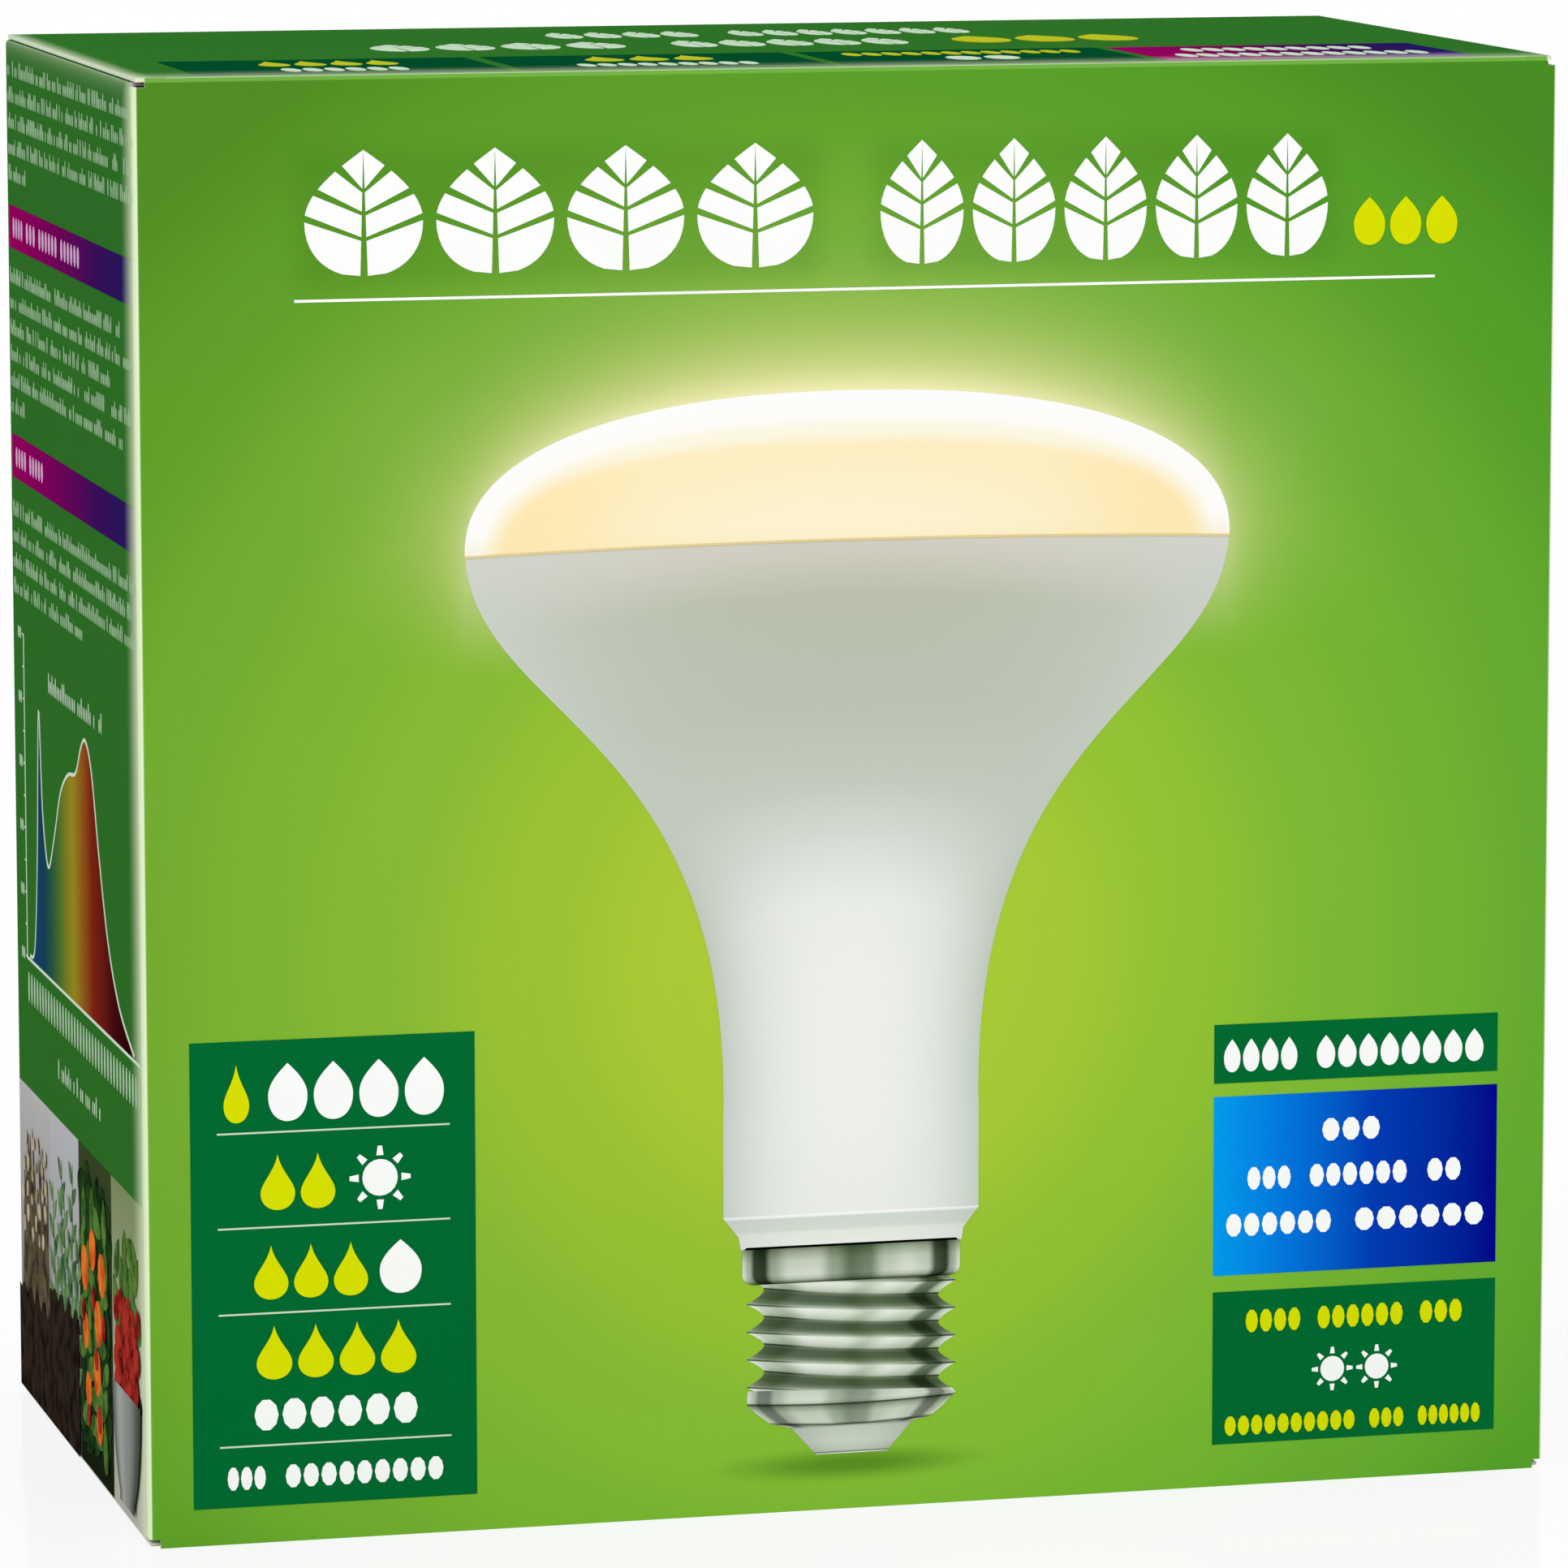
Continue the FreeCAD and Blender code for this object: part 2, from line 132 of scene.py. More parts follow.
class Graph:
    """A node tree to which node() adds any node."""

    def __init__(self, tree):
        self.tree = tree

    def node(self, kind, settings=None, sockets=None, output=0):
        """Adds a node, sets it up, gives its sockets their values or links, and returns an output."""
        made = self.tree.nodes.new(kind)
        for key, value in (settings or {}).items():
            if key == "stops":
                self.set_stops(made.color_ramp, value)
            else:
                setattr(made, key, value)
        for key, value in (sockets or {}).items():
            if isinstance(value, Channel):
                self.tree.links.new(value.socket, made.inputs[key])
            else:
                made.inputs[key].default_value = value
        return Channel(self, made.outputs[output]) if made.outputs else made

    def vector(self, x=0.0, y=0.0, z=0.0):
        return self.node("ShaderNodeCombineXYZ", sockets={0: x, 1: y, 2: z})

    @staticmethod
    def set_stops(ramp, stops):
        for _ in range(len(stops) - len(ramp.elements)):
            ramp.elements.new(0.5)
        for element, (place, colour) in zip(ramp.elements, stops):
            element.position = place
            element.color = colour


# %% [markdown]
# ## Finishes
#
# A finish is a material: patterns on Object coordinates, in the carton's own millimetres, feed one
# Principled surface. Colours are written as they look on the print, 0 to 255, and turned into the
# linear values that light works with.

# %% Colours and the finish class
def ink(red, green, blue):
    """A colour given as it looks, as a linear colour."""
    def linear(level):
        share = level / 255
        return share / 12.92 if share <= 0.04045 else ((share + 0.055) / 1.055) ** 2.4
    return (linear(red), linear(green), linear(blue), 1.0)


def stops(*rows):
    """The stops of a ramp, from rows of place, red, green and blue."""
    return [(place, ink(*colour)) for place, *colour in rows]


class Finish(Graph):
    """A material built from patterns."""

    def __init__(self, name):
        self.material = bpy.data.materials.new(name)
        self.material.use_nodes = True
        super().__init__(self.material.node_tree)
        self.tree.nodes.clear()
        self.place = self.node("ShaderNodeTexCoord", output=3)
        self.x, self.y, self.z = (axis * (1 / MM) for axis in self.split(self.place))

    def split(self, vector):
        first = self.node("ShaderNodeSeparateXYZ", sockets={0: vector})
        return [Channel(self, socket) for socket in first.socket.node.outputs]

    def facing(self):
        """The surface's own direction, in the object's axes."""
        return self.split(self.node("ShaderNodeTexCoord", output=1))

    def noise(self, size, detail=2.0, stretch=(1, 1, 1)):
        """Soft random cloud, 0 to 1, with features of about this size in millimetres."""
        place = self.place
        if stretch != (1, 1, 1):
            place = self.node("ShaderNodeMapping", sockets={"Vector": place, "Scale": stretch})
        return self.node("ShaderNodeTexNoise", {"noise_dimensions": "3D"},
                         {"Vector": place, "Scale": 1 / (size * MM), "Detail": detail})

    def mix(self, share, first, second, blend="MIX"):
        return self.node("ShaderNodeMix", {"data_type": "RGBA", "blend_type": blend},
                         {0: share, 6: first, 7: second}, output=2)

    def ramp(self, level, stops, easing="LINEAR"):
        made = self.node("ShaderNodeValToRGB", {"stops": stops}, {"Fac": level})
        made.socket.node.color_ramp.interpolation = easing
        return made

    def tint(self, colour, share):
        """The colour made lighter or darker by a channel that is 1 where it stays."""
        level = self.node("ShaderNodeCombineColor", sockets={0: share, 1: share, 2: share})
        return self.mix(1.0, colour, level, "MULTIPLY")

    def bump(self, height, depth, strength=1.0):
        """Small relief: depth is the height of 1, in millimetres."""
        return self.node("ShaderNodeBump", sockets={
            "Height": height, "Distance": depth * MM, "Strength": strength})

    def surface(self, colour, roughness, normal=None, **fixed):
        """Ends the material. fixed holds constant values by socket, with _ for a space."""
        sockets = {"Base Color": colour, "Roughness": roughness}
        if normal is not None:
            sockets["Normal"] = normal
        sockets.update({key.replace("_", " "): value for key, value in fixed.items()})
        shader = self.node("ShaderNodeBsdfPrincipled", sockets=sockets)
        self.node("ShaderNodeOutputMaterial", sockets={"Surface": shader})
        return self.material


# %% [markdown]
# ## Floor, background and light
#
# The picture is a plain studio one on white. The floor is a wide pale sheet: near the carton it is
# lit and takes a shadow, and further out it goes over to plain white. The light is a pale surround
# with one broad lamp in front and above, so that a colour comes out about as it is written.

# %% Floor and light
FLOOR_HALF = 8.0
SHADE_NEAR = 120.0
SHADE_FAR = 420.0
SHADE_LEFT = 0.17
SURROUND = 0.93
KEY_POWER = 12.0
KEY_SIZE = 1.4
KEY_PLACE = Vector((-0.9, -1.7, 1.7))
KEY_AIM = Vector((0, 0, 0.09))


def floor_finish():
    finish = Finish("pale_floor")
    away = (finish.x ** 2.0 + finish.y ** 2.0) ** 0.5
    grain = finish.noise(1.2)
    lit = finish.node("ShaderNodeBsdfPrincipled", sockets={
        "Base Color": finish.tint(ink(250, 250, 249), 0.99 + grain * 0.02),
        "Roughness": 0.08, "Specular IOR Level": 0.25})
    white = finish.node("ShaderNodeEmission", sockets={"Color": (1, 1, 1, 1), "Strength": 1.0})
    rays = finish.node("ShaderNodeLightPath")
    seen = rays.most(Channel(finish, rays.socket.node.outputs["Is Transmission Ray"]))
    both = finish.node("ShaderNodeMixShader", sockets={
        0: seen * (1 - (1 - away.rise(SHADE_NEAR, SHADE_FAR)) * SHADE_LEFT), 1: lit, 2: white})
    finish.node("ShaderNodeOutputMaterial", sockets={"Surface": both})
    return finish.material


floor_mesh = bpy.data.meshes.new("floor")
floor_mesh.from_pydata(
    [(x * FLOOR_HALF, y * FLOOR_HALF, 0) for x, y in ((-1, -1), (1, -1), (1, 1), (-1, 1))],
    [], [(0, 1, 2, 3)])
floor_mesh.materials.append(floor_finish())
floor = bpy.data.objects.new("floor", floor_mesh)
bpy.context.scene.collection.objects.link(floor)

world = bpy.data.worlds.new("studio")
bpy.context.scene.world = world
world.use_nodes = True
surround = Graph(world.node_tree)
surround.tree.nodes.clear()
light = surround.node("ShaderNodeBackground", sockets={
    "Color": ink(252, 252, 255), "Strength": SURROUND})
white = surround.node("ShaderNodeBackground", sockets={"Color": (1, 1, 1, 1), "Strength": 1.0})
rays = surround.node("ShaderNodeLightPath")
glossy, clear = (Channel(surround, rays.socket.node.outputs[name])
                 for name in ("Is Glossy Ray", "Is Transmission Ray"))
seen = surround.node("ShaderNodeMixShader", sockets={
    0: rays.most(glossy).most(clear), 1: light, 2: white})
surround.node("ShaderNodeOutputWorld", sockets={"Surface": seen})

key_data = bpy.data.lights.new("key", "AREA")
key_data.shape = "DISK"
key_data.size = KEY_SIZE
key_data.energy = KEY_POWER
key = bpy.data.objects.new("key", key_data)
key.location = KEY_PLACE
key.rotation_euler = (KEY_AIM - KEY_PLACE).to_track_quat("-Z", "Y").to_euler()
bpy.context.scene.collection.objects.link(key)

bpy.context.scene.view_settings.view_transform = "Standard"
print("floor, surround and key light are in place")

# %% [markdown]
# ## The board
#
# Carton board is white on its outer side, where it takes the print and a thin varnish, and grey inside
# with short fibres. Every fold shows as a pale line, partly where the print cracks and partly a painted
# highlight, and the board's cut edges are pale too. A painted soft highlight also lies beside the front
# folds. All of it is worked out from the place on the carton, so one finish serves the sleeve and
# another the two lids.

# %% Board colours and shared patterns
FOLD = 0.8
FRONT_GREEN = stops(
    (0.00, 182, 210, 56), (0.18, 169, 203, 56), (0.32, 151, 195, 53), (0.46, 132, 186, 53),
    (0.57, 120, 180, 50), (0.68, 109, 172, 49), (0.84, 90, 158, 41), (1.00, 76, 141, 35))
SIDE_GREEN = ink(46, 109, 38)
TOP_GREEN = ink(46, 112, 38)
# Painted highlight colour of the folds and beside the front folds; on the folds partly cracked print
# too.
FOLD_WEAR_AND_HIGHLIGHT = ink(228, 243, 201)
# Painted highlight on the front's upper and cut edges.
LIT_EDGE = ink(122, 184, 74)
COATED = ink(238, 239, 236)
BARE = ink(214, 211, 202)
GLOW_MIDDLE = (0.0, 68.5)
GLOW_REACH = 134.0
WARM_TO_LEFT = 0.0014
FOOT_LIFT = 34.0
SATIN = 0.36
RAW = 0.62
VARNISH = {"Specular_IOR_Level": 0.0}


def paper(finish):
    """Fibres of the board, as a relief and a slight cloudiness."""
    fibres = finish.noise(0.35, detail=3.0, stretch=(1, 1, 0.35))
    waves = finish.noise(38.0, detail=1.0)
    return fibres, waves


def bare_board(finish, fibres):
    """The unprinted inner side: grey-beige with darker and lighter fibres."""
    flecks = finish.noise(1.6, detail=4.0, stretch=(0.5, 1, 1))
    pale = finish.mix(flecks.rise(0.3, 0.8), BARE, ink(222, 219, 211))
    return finish.tint(pale, 0.96 + fibres * 0.07)


def fold_haze(finish, reach, scale, power):
    """Soft light beside the front fold, gone at reach millimetres from it."""
    return ((reach - finish.y - DEPTH / 2) / scale).most(0) ** power


def side_light(finish):
    """The soft light on the left wall beside its front fold, and the bright line on the fold itself."""
    on_line = (finish.y + DEPTH / 2).rise(2.6, 1.8)
    return (fold_haze(finish, reach=10.0, scale=7.0, power=1.7) * 0.56).most(on_line * 0.95)


def lid_light(finish):
    """The soft light on a lid beside its front fold."""
    return fold_haze(finish, reach=14.0, scale=13.0, power=2.0) * 0.42


def printed_green(finish):
    """The sleeve's ground colour: a glow on the front and back, dark green on the sides. The glow is
    warmer to the left and a little lighter at the foot."""
    across = finish.x - GLOW_MIDDLE[0]
    down = finish.z - GLOW_MIDDLE[1]
    away = (across ** 2.0 + down ** 2.0) ** 0.5
    broad = finish.ramp(away / GLOW_REACH, FRONT_GREEN, "EASE")
    lift = finish.z.rise(FOOT_LIFT, 0.0) * 0.08 + 1.0
    warmth = finish.node("ShaderNodeCombineColor", sockets={
        0: lift - across * WARM_TO_LEFT, 1: lift, 2: lift})
    front = finish.mix(1.0, broad, warmth, "MULTIPLY")
    on_side = (abs(finish.x) - WIDTH / 2) - (abs(finish.y) - DEPTH / 2)
    return finish.mix(on_side.rise(-0.3, 0.3), front, SIDE_GREEN)


# %% [markdown]
# ## Soft light round the pictured lamp
#
# The front shows a lit lamp, so a pale halo lies round its dome and a soft shadow under its tip. Both
# are gradients with no edge, which belong in the sleeve's own colour. The halo needs the distance from
# the dome's outline. That outline is a superellipse, and dividing its equation by its slope gives the
# distance closely enough.

# %% Distance from the pictured dome
PICTURE_X = 88.8
DOME_HALF = 48.7
DOME_RISE = 19.1
RIM_DOWN = 58.7
ROUNDNESS = 2.3
HALO_FADE = 6.1
RIM_FADE = 1.5
# Half width, half height and place above the foot.
TIP_SHADOW = (18.5, 2.3, 5.7)
# Middle and half width of the frieze's two groups of leaves.
FRIEZE_BOXES = ((52.3, 30.0), (121.2, 27.0))
FRIEZE_DOWN = 17.2
FRIEZE_SOFT = 5.5


def from_rim(finish):
    """The place on the front, across and up from the middle of the pictured dome's rim."""
    return finish.x + (WIDTH / 2 - PICTURE_X), finish.z - (HEIGHT - RIM_DOWN)


def from_dome(across, above):
    """Distance from the dome's outline, negative inside."""
    side = abs(across) / DOME_HALF
    up = above.most(0.01) / DOME_RISE
    level = (side ** ROUNDNESS + up ** ROUNDNESS) ** (1 / ROUNDNESS)
    side_slope = (side / level) ** (ROUNDNESS - 1) * (1 / DOME_HALF)
    up_slope = (up / level) ** (ROUNDNESS - 1) * (1 / DOME_RISE)
    return (level - 1) / (side_slope ** 2.0 + up_slope ** 2.0) ** 0.5


def frieze_shade(finish):
    """Soft shade round the frieze's two groups of leaves, from the distance to their two boxes."""
    shade = None
    for middle, half in FRIEZE_BOXES:
        beside = (abs(finish.x + (WIDTH / 2 - middle)) - half).most(0)
        above = (abs(finish.z - (HEIGHT - FRIEZE_DOWN)) - FRIEZE_SOFT).most(0)
        near = ((beside ** 2.0 + above ** 2.0) ** 0.5).rise(FRIEZE_SOFT, 0.0)
        shade = near if shade is None else shade.most(near)
    return shade


def with_glow(finish, colour):
    """The front's colour with the halo, which is brightest close to the dome, the tip's shadow and the
    soft shade behind the frieze."""
    across, above = from_rim(finish)
    away = from_dome(across, above).most(0)
    centred = 1 - (abs(across) / DOME_HALF).least(1) ** 2.0 * 0.60
    share = centred * above.rise(-16.0, 2.0)
    lit = finish.mix(away.fading(HALO_FADE) * share * 0.98, colour, ink(241, 234, 160))
    lit = finish.mix(away.fading(RIM_FADE) * share * 0.3, lit, ink(250, 250, 226))
    lit = finish.mix(frieze_shade(finish) * 0.24, lit, ink(52, 112, 22))
    half, tall, up = TIP_SHADOW
    shadow = ((across / half) ** 2.0 + ((finish.z - up) / tall) ** 2.0) ** 0.5
    return finish.mix(shadow.rise(1.15, 0.1) * 0.72, lit, ink(70, 120, 28))


# %% [markdown]
# ## The sleeve's finish
#
# Whether a point is on the printed side follows from its distance to the sleeve's outer skin, a
# rounded rectangle. Cut edges face up or down. The dust flaps are inside the skin and white, with a
# narrow strip of green that the printer lets run over the fold.

# %% Finish of the sleeve
def sleeve_finish():
    finish = Finish("printed_board")
    fibres, waves = paper(finish)
    _, _, facing_z = finish.facing()

    out_x = (abs(finish.x) - (WIDTH / 2 - FOLD)).most(0)
    out_y = (abs(finish.y) - (DEPTH / 2 - FOLD)).most(0)
    skin = (out_x ** 2.0 + out_y ** 2.0) ** 0.5 - FOLD
    printed = skin.rise(-0.22, -0.12)

    front = -finish.y > DEPTH / 2 - 0.3
    green = printed_green(finish)
    colour = finish.mix(front, green, with_glow(finish, green))

    # The folds' pale lines, part cracked print and part painted highlight, the wider painted soft light
    # beside the front one on the left wall, and a painted pale band along that wall's top edge.
    on_fold = out_x.rise(0.35, 0.60) * out_y.rise(0.05, 0.45)
    in_front = (-finish.y).rise(-1.0, 1.0)
    left = -finish.x > WIDTH / 2 - 0.3
    beside = side_light(finish).most((HEIGHT - finish.z).fading(0.9) * 0.5)
    colour = finish.mix(left * beside, colour, FOLD_WEAR_AND_HIGHLIGHT)
    colour = finish.mix(on_fold * (0.3 + in_front * 0.7), colour, FOLD_WEAR_AND_HIGHLIGHT)

    # The front's upper edge catches the light in a bright green line.
    # Painted highlight: a bright green line along the front's upper edge, as if it caught the light.
    colour = finish.mix(front * (HEIGHT - finish.z).rise(0.60, 0.40) * 0.8, colour, LIT_EDGE)

    # Cut edges of the front and back walls, and the strip of print that runs over onto the flaps.
    cut = abs(facing_z).rise(0.6, 0.9)
    at_end = abs(finish.z - HEIGHT / 2) > HEIGHT / 2 - 0.75
    bleed = (abs(finish.x) > WIDTH / 2 - 4.0) * (abs(facing_z) > 0.5) * at_end
    outward = (finish.z - HEIGHT / 2) * facing_z > 0
    flap = finish.mix(outward, bare_board(finish, fibres), COATED)
    flap = finish.mix(bleed * outward, flap, SIDE_GREEN)
    inner = finish.mix(cut, bare_board(finish, fibres), flap)
    # The front's cut edges take the same painted bright green highlight.
    edge = finish.mix(front, ink(206, 214, 190), LIT_EDGE)
    outer = finish.mix(cut * (skin > -0.45), colour, edge)
    colour = finish.mix(printed, inner, outer)

    relief = finish.bump(fibres, 0.02, 0.35)
    varnished = RAW - printed * (RAW - SATIN) + (waves - 0.5) * 0.05
    return finish.surface(finish.tint(colour, 0.985 + waves * 0.03), varnished, relief, **VARNISH)


# %% [markdown]
# ## The lids' finish
#
# A lid is printed on its outer face and on the outer side of its tuck, which both face away from the
# carton's middle. Its front fold, a soft band beside it and its left end carry a painted pale
# highlight.

# %% Finish of the lids
def lid_finish(name, sign):
    """sign is 1 for the upper lid and -1 for the lower one."""
    finish = Finish(name)
    fibres, waves = paper(finish)
    facing_x, facing_y, facing_z = finish.facing()
    outer = (facing_z * sign).rise(0.2, 0.5).most((-facing_y).rise(0.2, 0.5))
    sides = abs(facing_x) > 0.7

    to_front = finish.y + DEPTH / 2
    on_panel = (facing_z * sign).rise(0.2, 0.6)
    # Painted highlights: a soft band beside the front fold, one along the left end, and the fold line
    # itself.
    colour = finish.mix(lid_light(finish) * on_panel, TOP_GREEN, FOLD_WEAR_AND_HIGHLIGHT)
    to_left = finish.x + WIDTH / 2
    colour = finish.mix((1 - to_left / 3.2).most(0) ** 1.5 * 0.7, colour, FOLD_WEAR_AND_HIGHLIGHT)
    on_fold = to_front.rise(1.7, 1.1) * (finish.z * sign > (HEIGHT if sign > 0 else 0) - 0.9)
    colour = finish.mix(on_fold * 0.8, colour, FOLD_WEAR_AND_HIGHLIGHT)
    colour = finish.mix(outer, bare_board(finish, fibres), colour)
    colour = finish.mix(sides, colour, ink(214, 222, 200))

    relief = finish.bump(fibres, 0.02, 0.35)
    varnished = RAW - outer * (RAW - SATIN) + (waves - 0.5) * 0.05
    return finish.surface(finish.tint(colour, 0.985 + waves * 0.03), varnished, relief, **VARNISH)


def plain_board_finish():
    finish = Finish("plain_board")
    fibres, _ = paper(finish)
    return finish.surface(bare_board(finish, fibres), 0.8, finish.bump(fibres, 0.03, 0.5),
                          Specular_IOR_Level=0.2)


# %% [markdown]
# ## The lamp's finish
#
# The lamp stands upright, so its parts follow one another with height: centre contact, glass
# insulator, nickel shell, white collar, satin housing and milky dome. One finish with bands by height
# covers them all, and the roughness and metal change at the same heights.

# %% Finish of the lamp
LAMP_TIP = lamp_low.z
CONTACT_TOP = LAMP_TIP + 1.6
INSULATOR_TOP = LAMP_TIP + 6.1
SHELL_TOP = LAMP_TIP + 25.8
LAMP_RIM = lamp_high.z - 18.4


def lamp_finish():
    finish = Finish("lamp_body")
    cloud = finish.noise(9.0)
    metal = finish.tint(ink(206, 209, 200), 0.94 + cloud * 0.12)
    white = finish.tint(ink(236, 238, 233), 0.98 + cloud * 0.03)
    dome = finish.tint(ink(250, 246, 232), 0.985 + cloud * 0.02)

    in_contact = finish.z < CONTACT_TOP
    in_insulator = (finish.z > CONTACT_TOP) * (finish.z < INSULATOR_TOP)
    in_shell = (finish.z > INSULATOR_TOP) * (finish.z < SHELL_TOP)
    in_dome = (finish.z - LAMP_RIM).rise(-0.25, 0.25)
    metallic = in_contact.most(in_shell)

    colour = finish.mix(in_dome, white, dome)
    seam = abs(finish.z - LAMP_RIM).rise(0.5, 0.15)
    colour = finish.mix(seam * 0.45, colour, ink(176, 178, 170))
    colour = finish.mix(in_insulator, colour, ink(44, 46, 50))
    colour = finish.mix(metallic, colour, metal)
    roughness = 0.46 - metallic * 0.2 - in_dome * 0.1 - in_insulator * 0.3
    relief = finish.bump(finish.noise(0.5), 0.01, 0.2)
    return finish.surface(colour, roughness, relief, Metallic=metallic)


for node, material in (
    ("carton_sleeve", sleeve_finish()),
    ("top_lid", lid_finish("printed_board_top", 1)),
    ("bottom_lid", lid_finish("printed_board_bottom", -1)),
    ("fitment", plain_board_finish()),
    ("lamp", lamp_finish()),
):
    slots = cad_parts[node].material_slots
    for place in slots:
        place.material = material
    print(f"{node}: {material.name} in {len(slots)} slot")

# %% [markdown]
# ## Laying ink on a wall
#
# Each wall has its own flat layout, in millimetres: x to the right and y down from the wall's upper
# left corner, as the printer's sheet has it. A matrix turns that layout into the carton's frame. Ink
# is a closed sheet a few hundredths of a millimetre proud of the board, and later colours lie on
# earlier ones.

# %% Walls and sheets of ink
LAYER = 0.045
SUNK = 0.03


def wall(x, y, right, up=(0, 0, 1), body="carton"):
    """A wall: the matrix from its own layout to the frame, and the body that its print rides with."""
    right, up = Vector(right), Vector(up)
    turn = Matrix((right, up, right.cross(up))).transposed()
    corner = Vector((x, y, sleeve_high.z)) * MM
    return Matrix.Translation(corner) @ turn.to_4x4() @ Matrix.Scale(MM, 4), body


FRONT_WALL = wall(sleeve_low.x, sleeve_low.y, (1, 0, 0))
LEFT_WALL = wall(sleeve_low.x, sleeve_high.y, (0, -1, 0))
BACK_WALL = wall(sleeve_high.x, sleeve_high.y, (-1, 0, 0))
RIGHT_WALL = wall(sleeve_high.x, sleeve_low.y, (0, 1, 0))
TOP_FACE = wall(sleeve_low.x, sleeve_high.y, (1, 0, 0), (0, 1, 0), "top_lid")


def keep(name, mesh, where, material):
    """Puts a finished mesh on its wall and lets it ride."""
    matrix, body = where
    mesh.transform(matrix)
    mesh.name = name
    mesh.materials.clear()
    mesh.materials.append(material)
    piece = bpy.data.objects.new(name, mesh)
    bpy.context.scene.collection.objects.link(piece)
    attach(piece, body)
    return piece


def sheet_mesh(points, faces, level, across=None):
    """A closed sheet from flat faces: their copy below, and a wall along every free edge.
    across holds one (u, v) for each point where the finish needs it."""
    count = len(points)
    vertices = [(x, -y, level * LAYER) for x, y in points]
    vertices += [(x, -y, (level - 1) * LAYER - SUNK) for x, y in points]
    edges = {(a, b) for face in faces for a, b in zip(face, face[1:] + face[:1])}
    walls = [(a + count, b + count, b, a) for a, b in edges if (b, a) not in edges]
    below = [tuple(index + count for index in reversed(face)) for face in faces]
    mesh = bpy.data.meshes.new("sheet")
    mesh.from_pydata(vertices, [], [tuple(face) for face in faces] + below + sorted(walls))
    if across:
        layer = mesh.uv_layers.new(name="across")
        for loop in mesh.loops:
            layer.data[loop.index].uv = across[loop.vertex_index % count]
    return mesh


def facing_out(outline):
    """The outline in the order whose sheet faces outwards. The layout's y runs down."""
    area = sum(a[0] * b[1] - b[0] * a[1] for a, b in zip(outline, outline[1:] + outline[:1]))
    return outline if area < 0 else outline[::-1]


def joined(outlines):
    """Several flat outlines as the points and faces of one sheet."""
    points, faces = [], []
    for outline in outlines:
        faces.append(list(range(len(points), len(points) + len(outline))))
        points += facing_out(outline)
    return points, faces


def print_shapes(name, outlines, level, where, material):
    """One piece from several flat outlines."""
    piece = keep(name, sheet_mesh(*joined(outlines), level), where, material)
    print(f"{name}: {len(outlines)} shapes, {len(piece.data.polygons)} faces")
    return piece


def box_outline(left, top, right, bottom):
    return [(left, top), (right, top), (right, bottom), (left, bottom)]


def bezier(start, lift, drop, end, steps):
    """Points along a Bezier curve, its end left out."""
    def at(t):
        shares = ((1 - t) ** 3, 3 * t * (1 - t) ** 2, 3 * t * t * (1 - t), t ** 3)
        weighed = list(zip(shares, (start, lift, drop, end)))
        return tuple(sum(share * point[axis] for share, point in weighed) for axis in (0, 1))
    return [at(step / steps) for step in range(steps)]


# %% [markdown]
# ## Inks
#
# Every colour of ink is a finish of its own: the colour with a faint unevenness, as a press lays it
# on board, under the same varnish as the board. Some fields run from one colour to another.

# %% Inks
def ink_finish(name, colour):
    """A flat ink, or a varying one where colour is a function of the finish."""
    finish = Finish(name)
    fibres, waves = paper(finish)
    cloud = finish.noise(4.0, detail=3.0)
    base = colour(finish) if callable(colour) else colour
    base = finish.tint(base, 0.975 + cloud * 0.05)
    return finish.surface(base, SATIN + (waves - 0.5) * 0.05, finish.bump(fibres, 0.02, 0.3), **VARNISH)


def blend_along(axis, start, end, stops):
    """A colour that changes along x, y or z of the carton, from start to end millimetres."""
    def colour(finish):
        place = getattr(finish, axis)
        return finish.ramp((place - start) / (end - start), stops)
    return colour


def under_light(colour, light, strength=1.0, pale=FOLD_WEAR_AND_HIGHLIGHT):
    """An ink's colour with the soft light beside its wall's fold over it."""
    def lit(finish):
        base = colour(finish) if callable(colour) else colour
        return finish.mix((light(finish) * strength).least(0.95), base, pale)
    return lit


WHITE_INK = ink_finish("ink_white", ink(252, 253, 250))
YELLOW_INK = ink_finish("ink_yellow", ink(217, 224, 3))
PANEL_INK = ink_finish("ink_deep_green", ink(3, 106, 50))
TEAL_INK = ink_finish("ink_dark_teal", under_light(ink(0, 74, 41), lid_light))
SOFT_INK = ink_finish("ink_soft_white", ink(206, 222, 200))
DIM_INK = ink_finish("ink_dim_white", ink(172, 202, 166))

MAGENTA_TO_NAVY = stops((0.0, 150, 0, 92), (0.35, 118, 2, 88), (0.7, 58, 14, 88), (1.0, 30, 24, 92))
SKY_TO_NAVY = stops((0.0, 3, 157, 240), (0.25, 3, 120, 224), (0.55, 2, 62, 184), (1.0, 2, 6, 138))
print("six inks mixed")

# %% [markdown]
# ## Growing what repeats
#
# Rows of plain ornaments cover the print: big leaves in the frieze, and drops, suns, small leaves and
# seeds on the panels. Drawing each by hand would be slow and uneven. Geometry Nodes sets one stamp on a
# line of points, as often as a row needs it, and the same tree puts leaves on a stem when its line
# climbs.

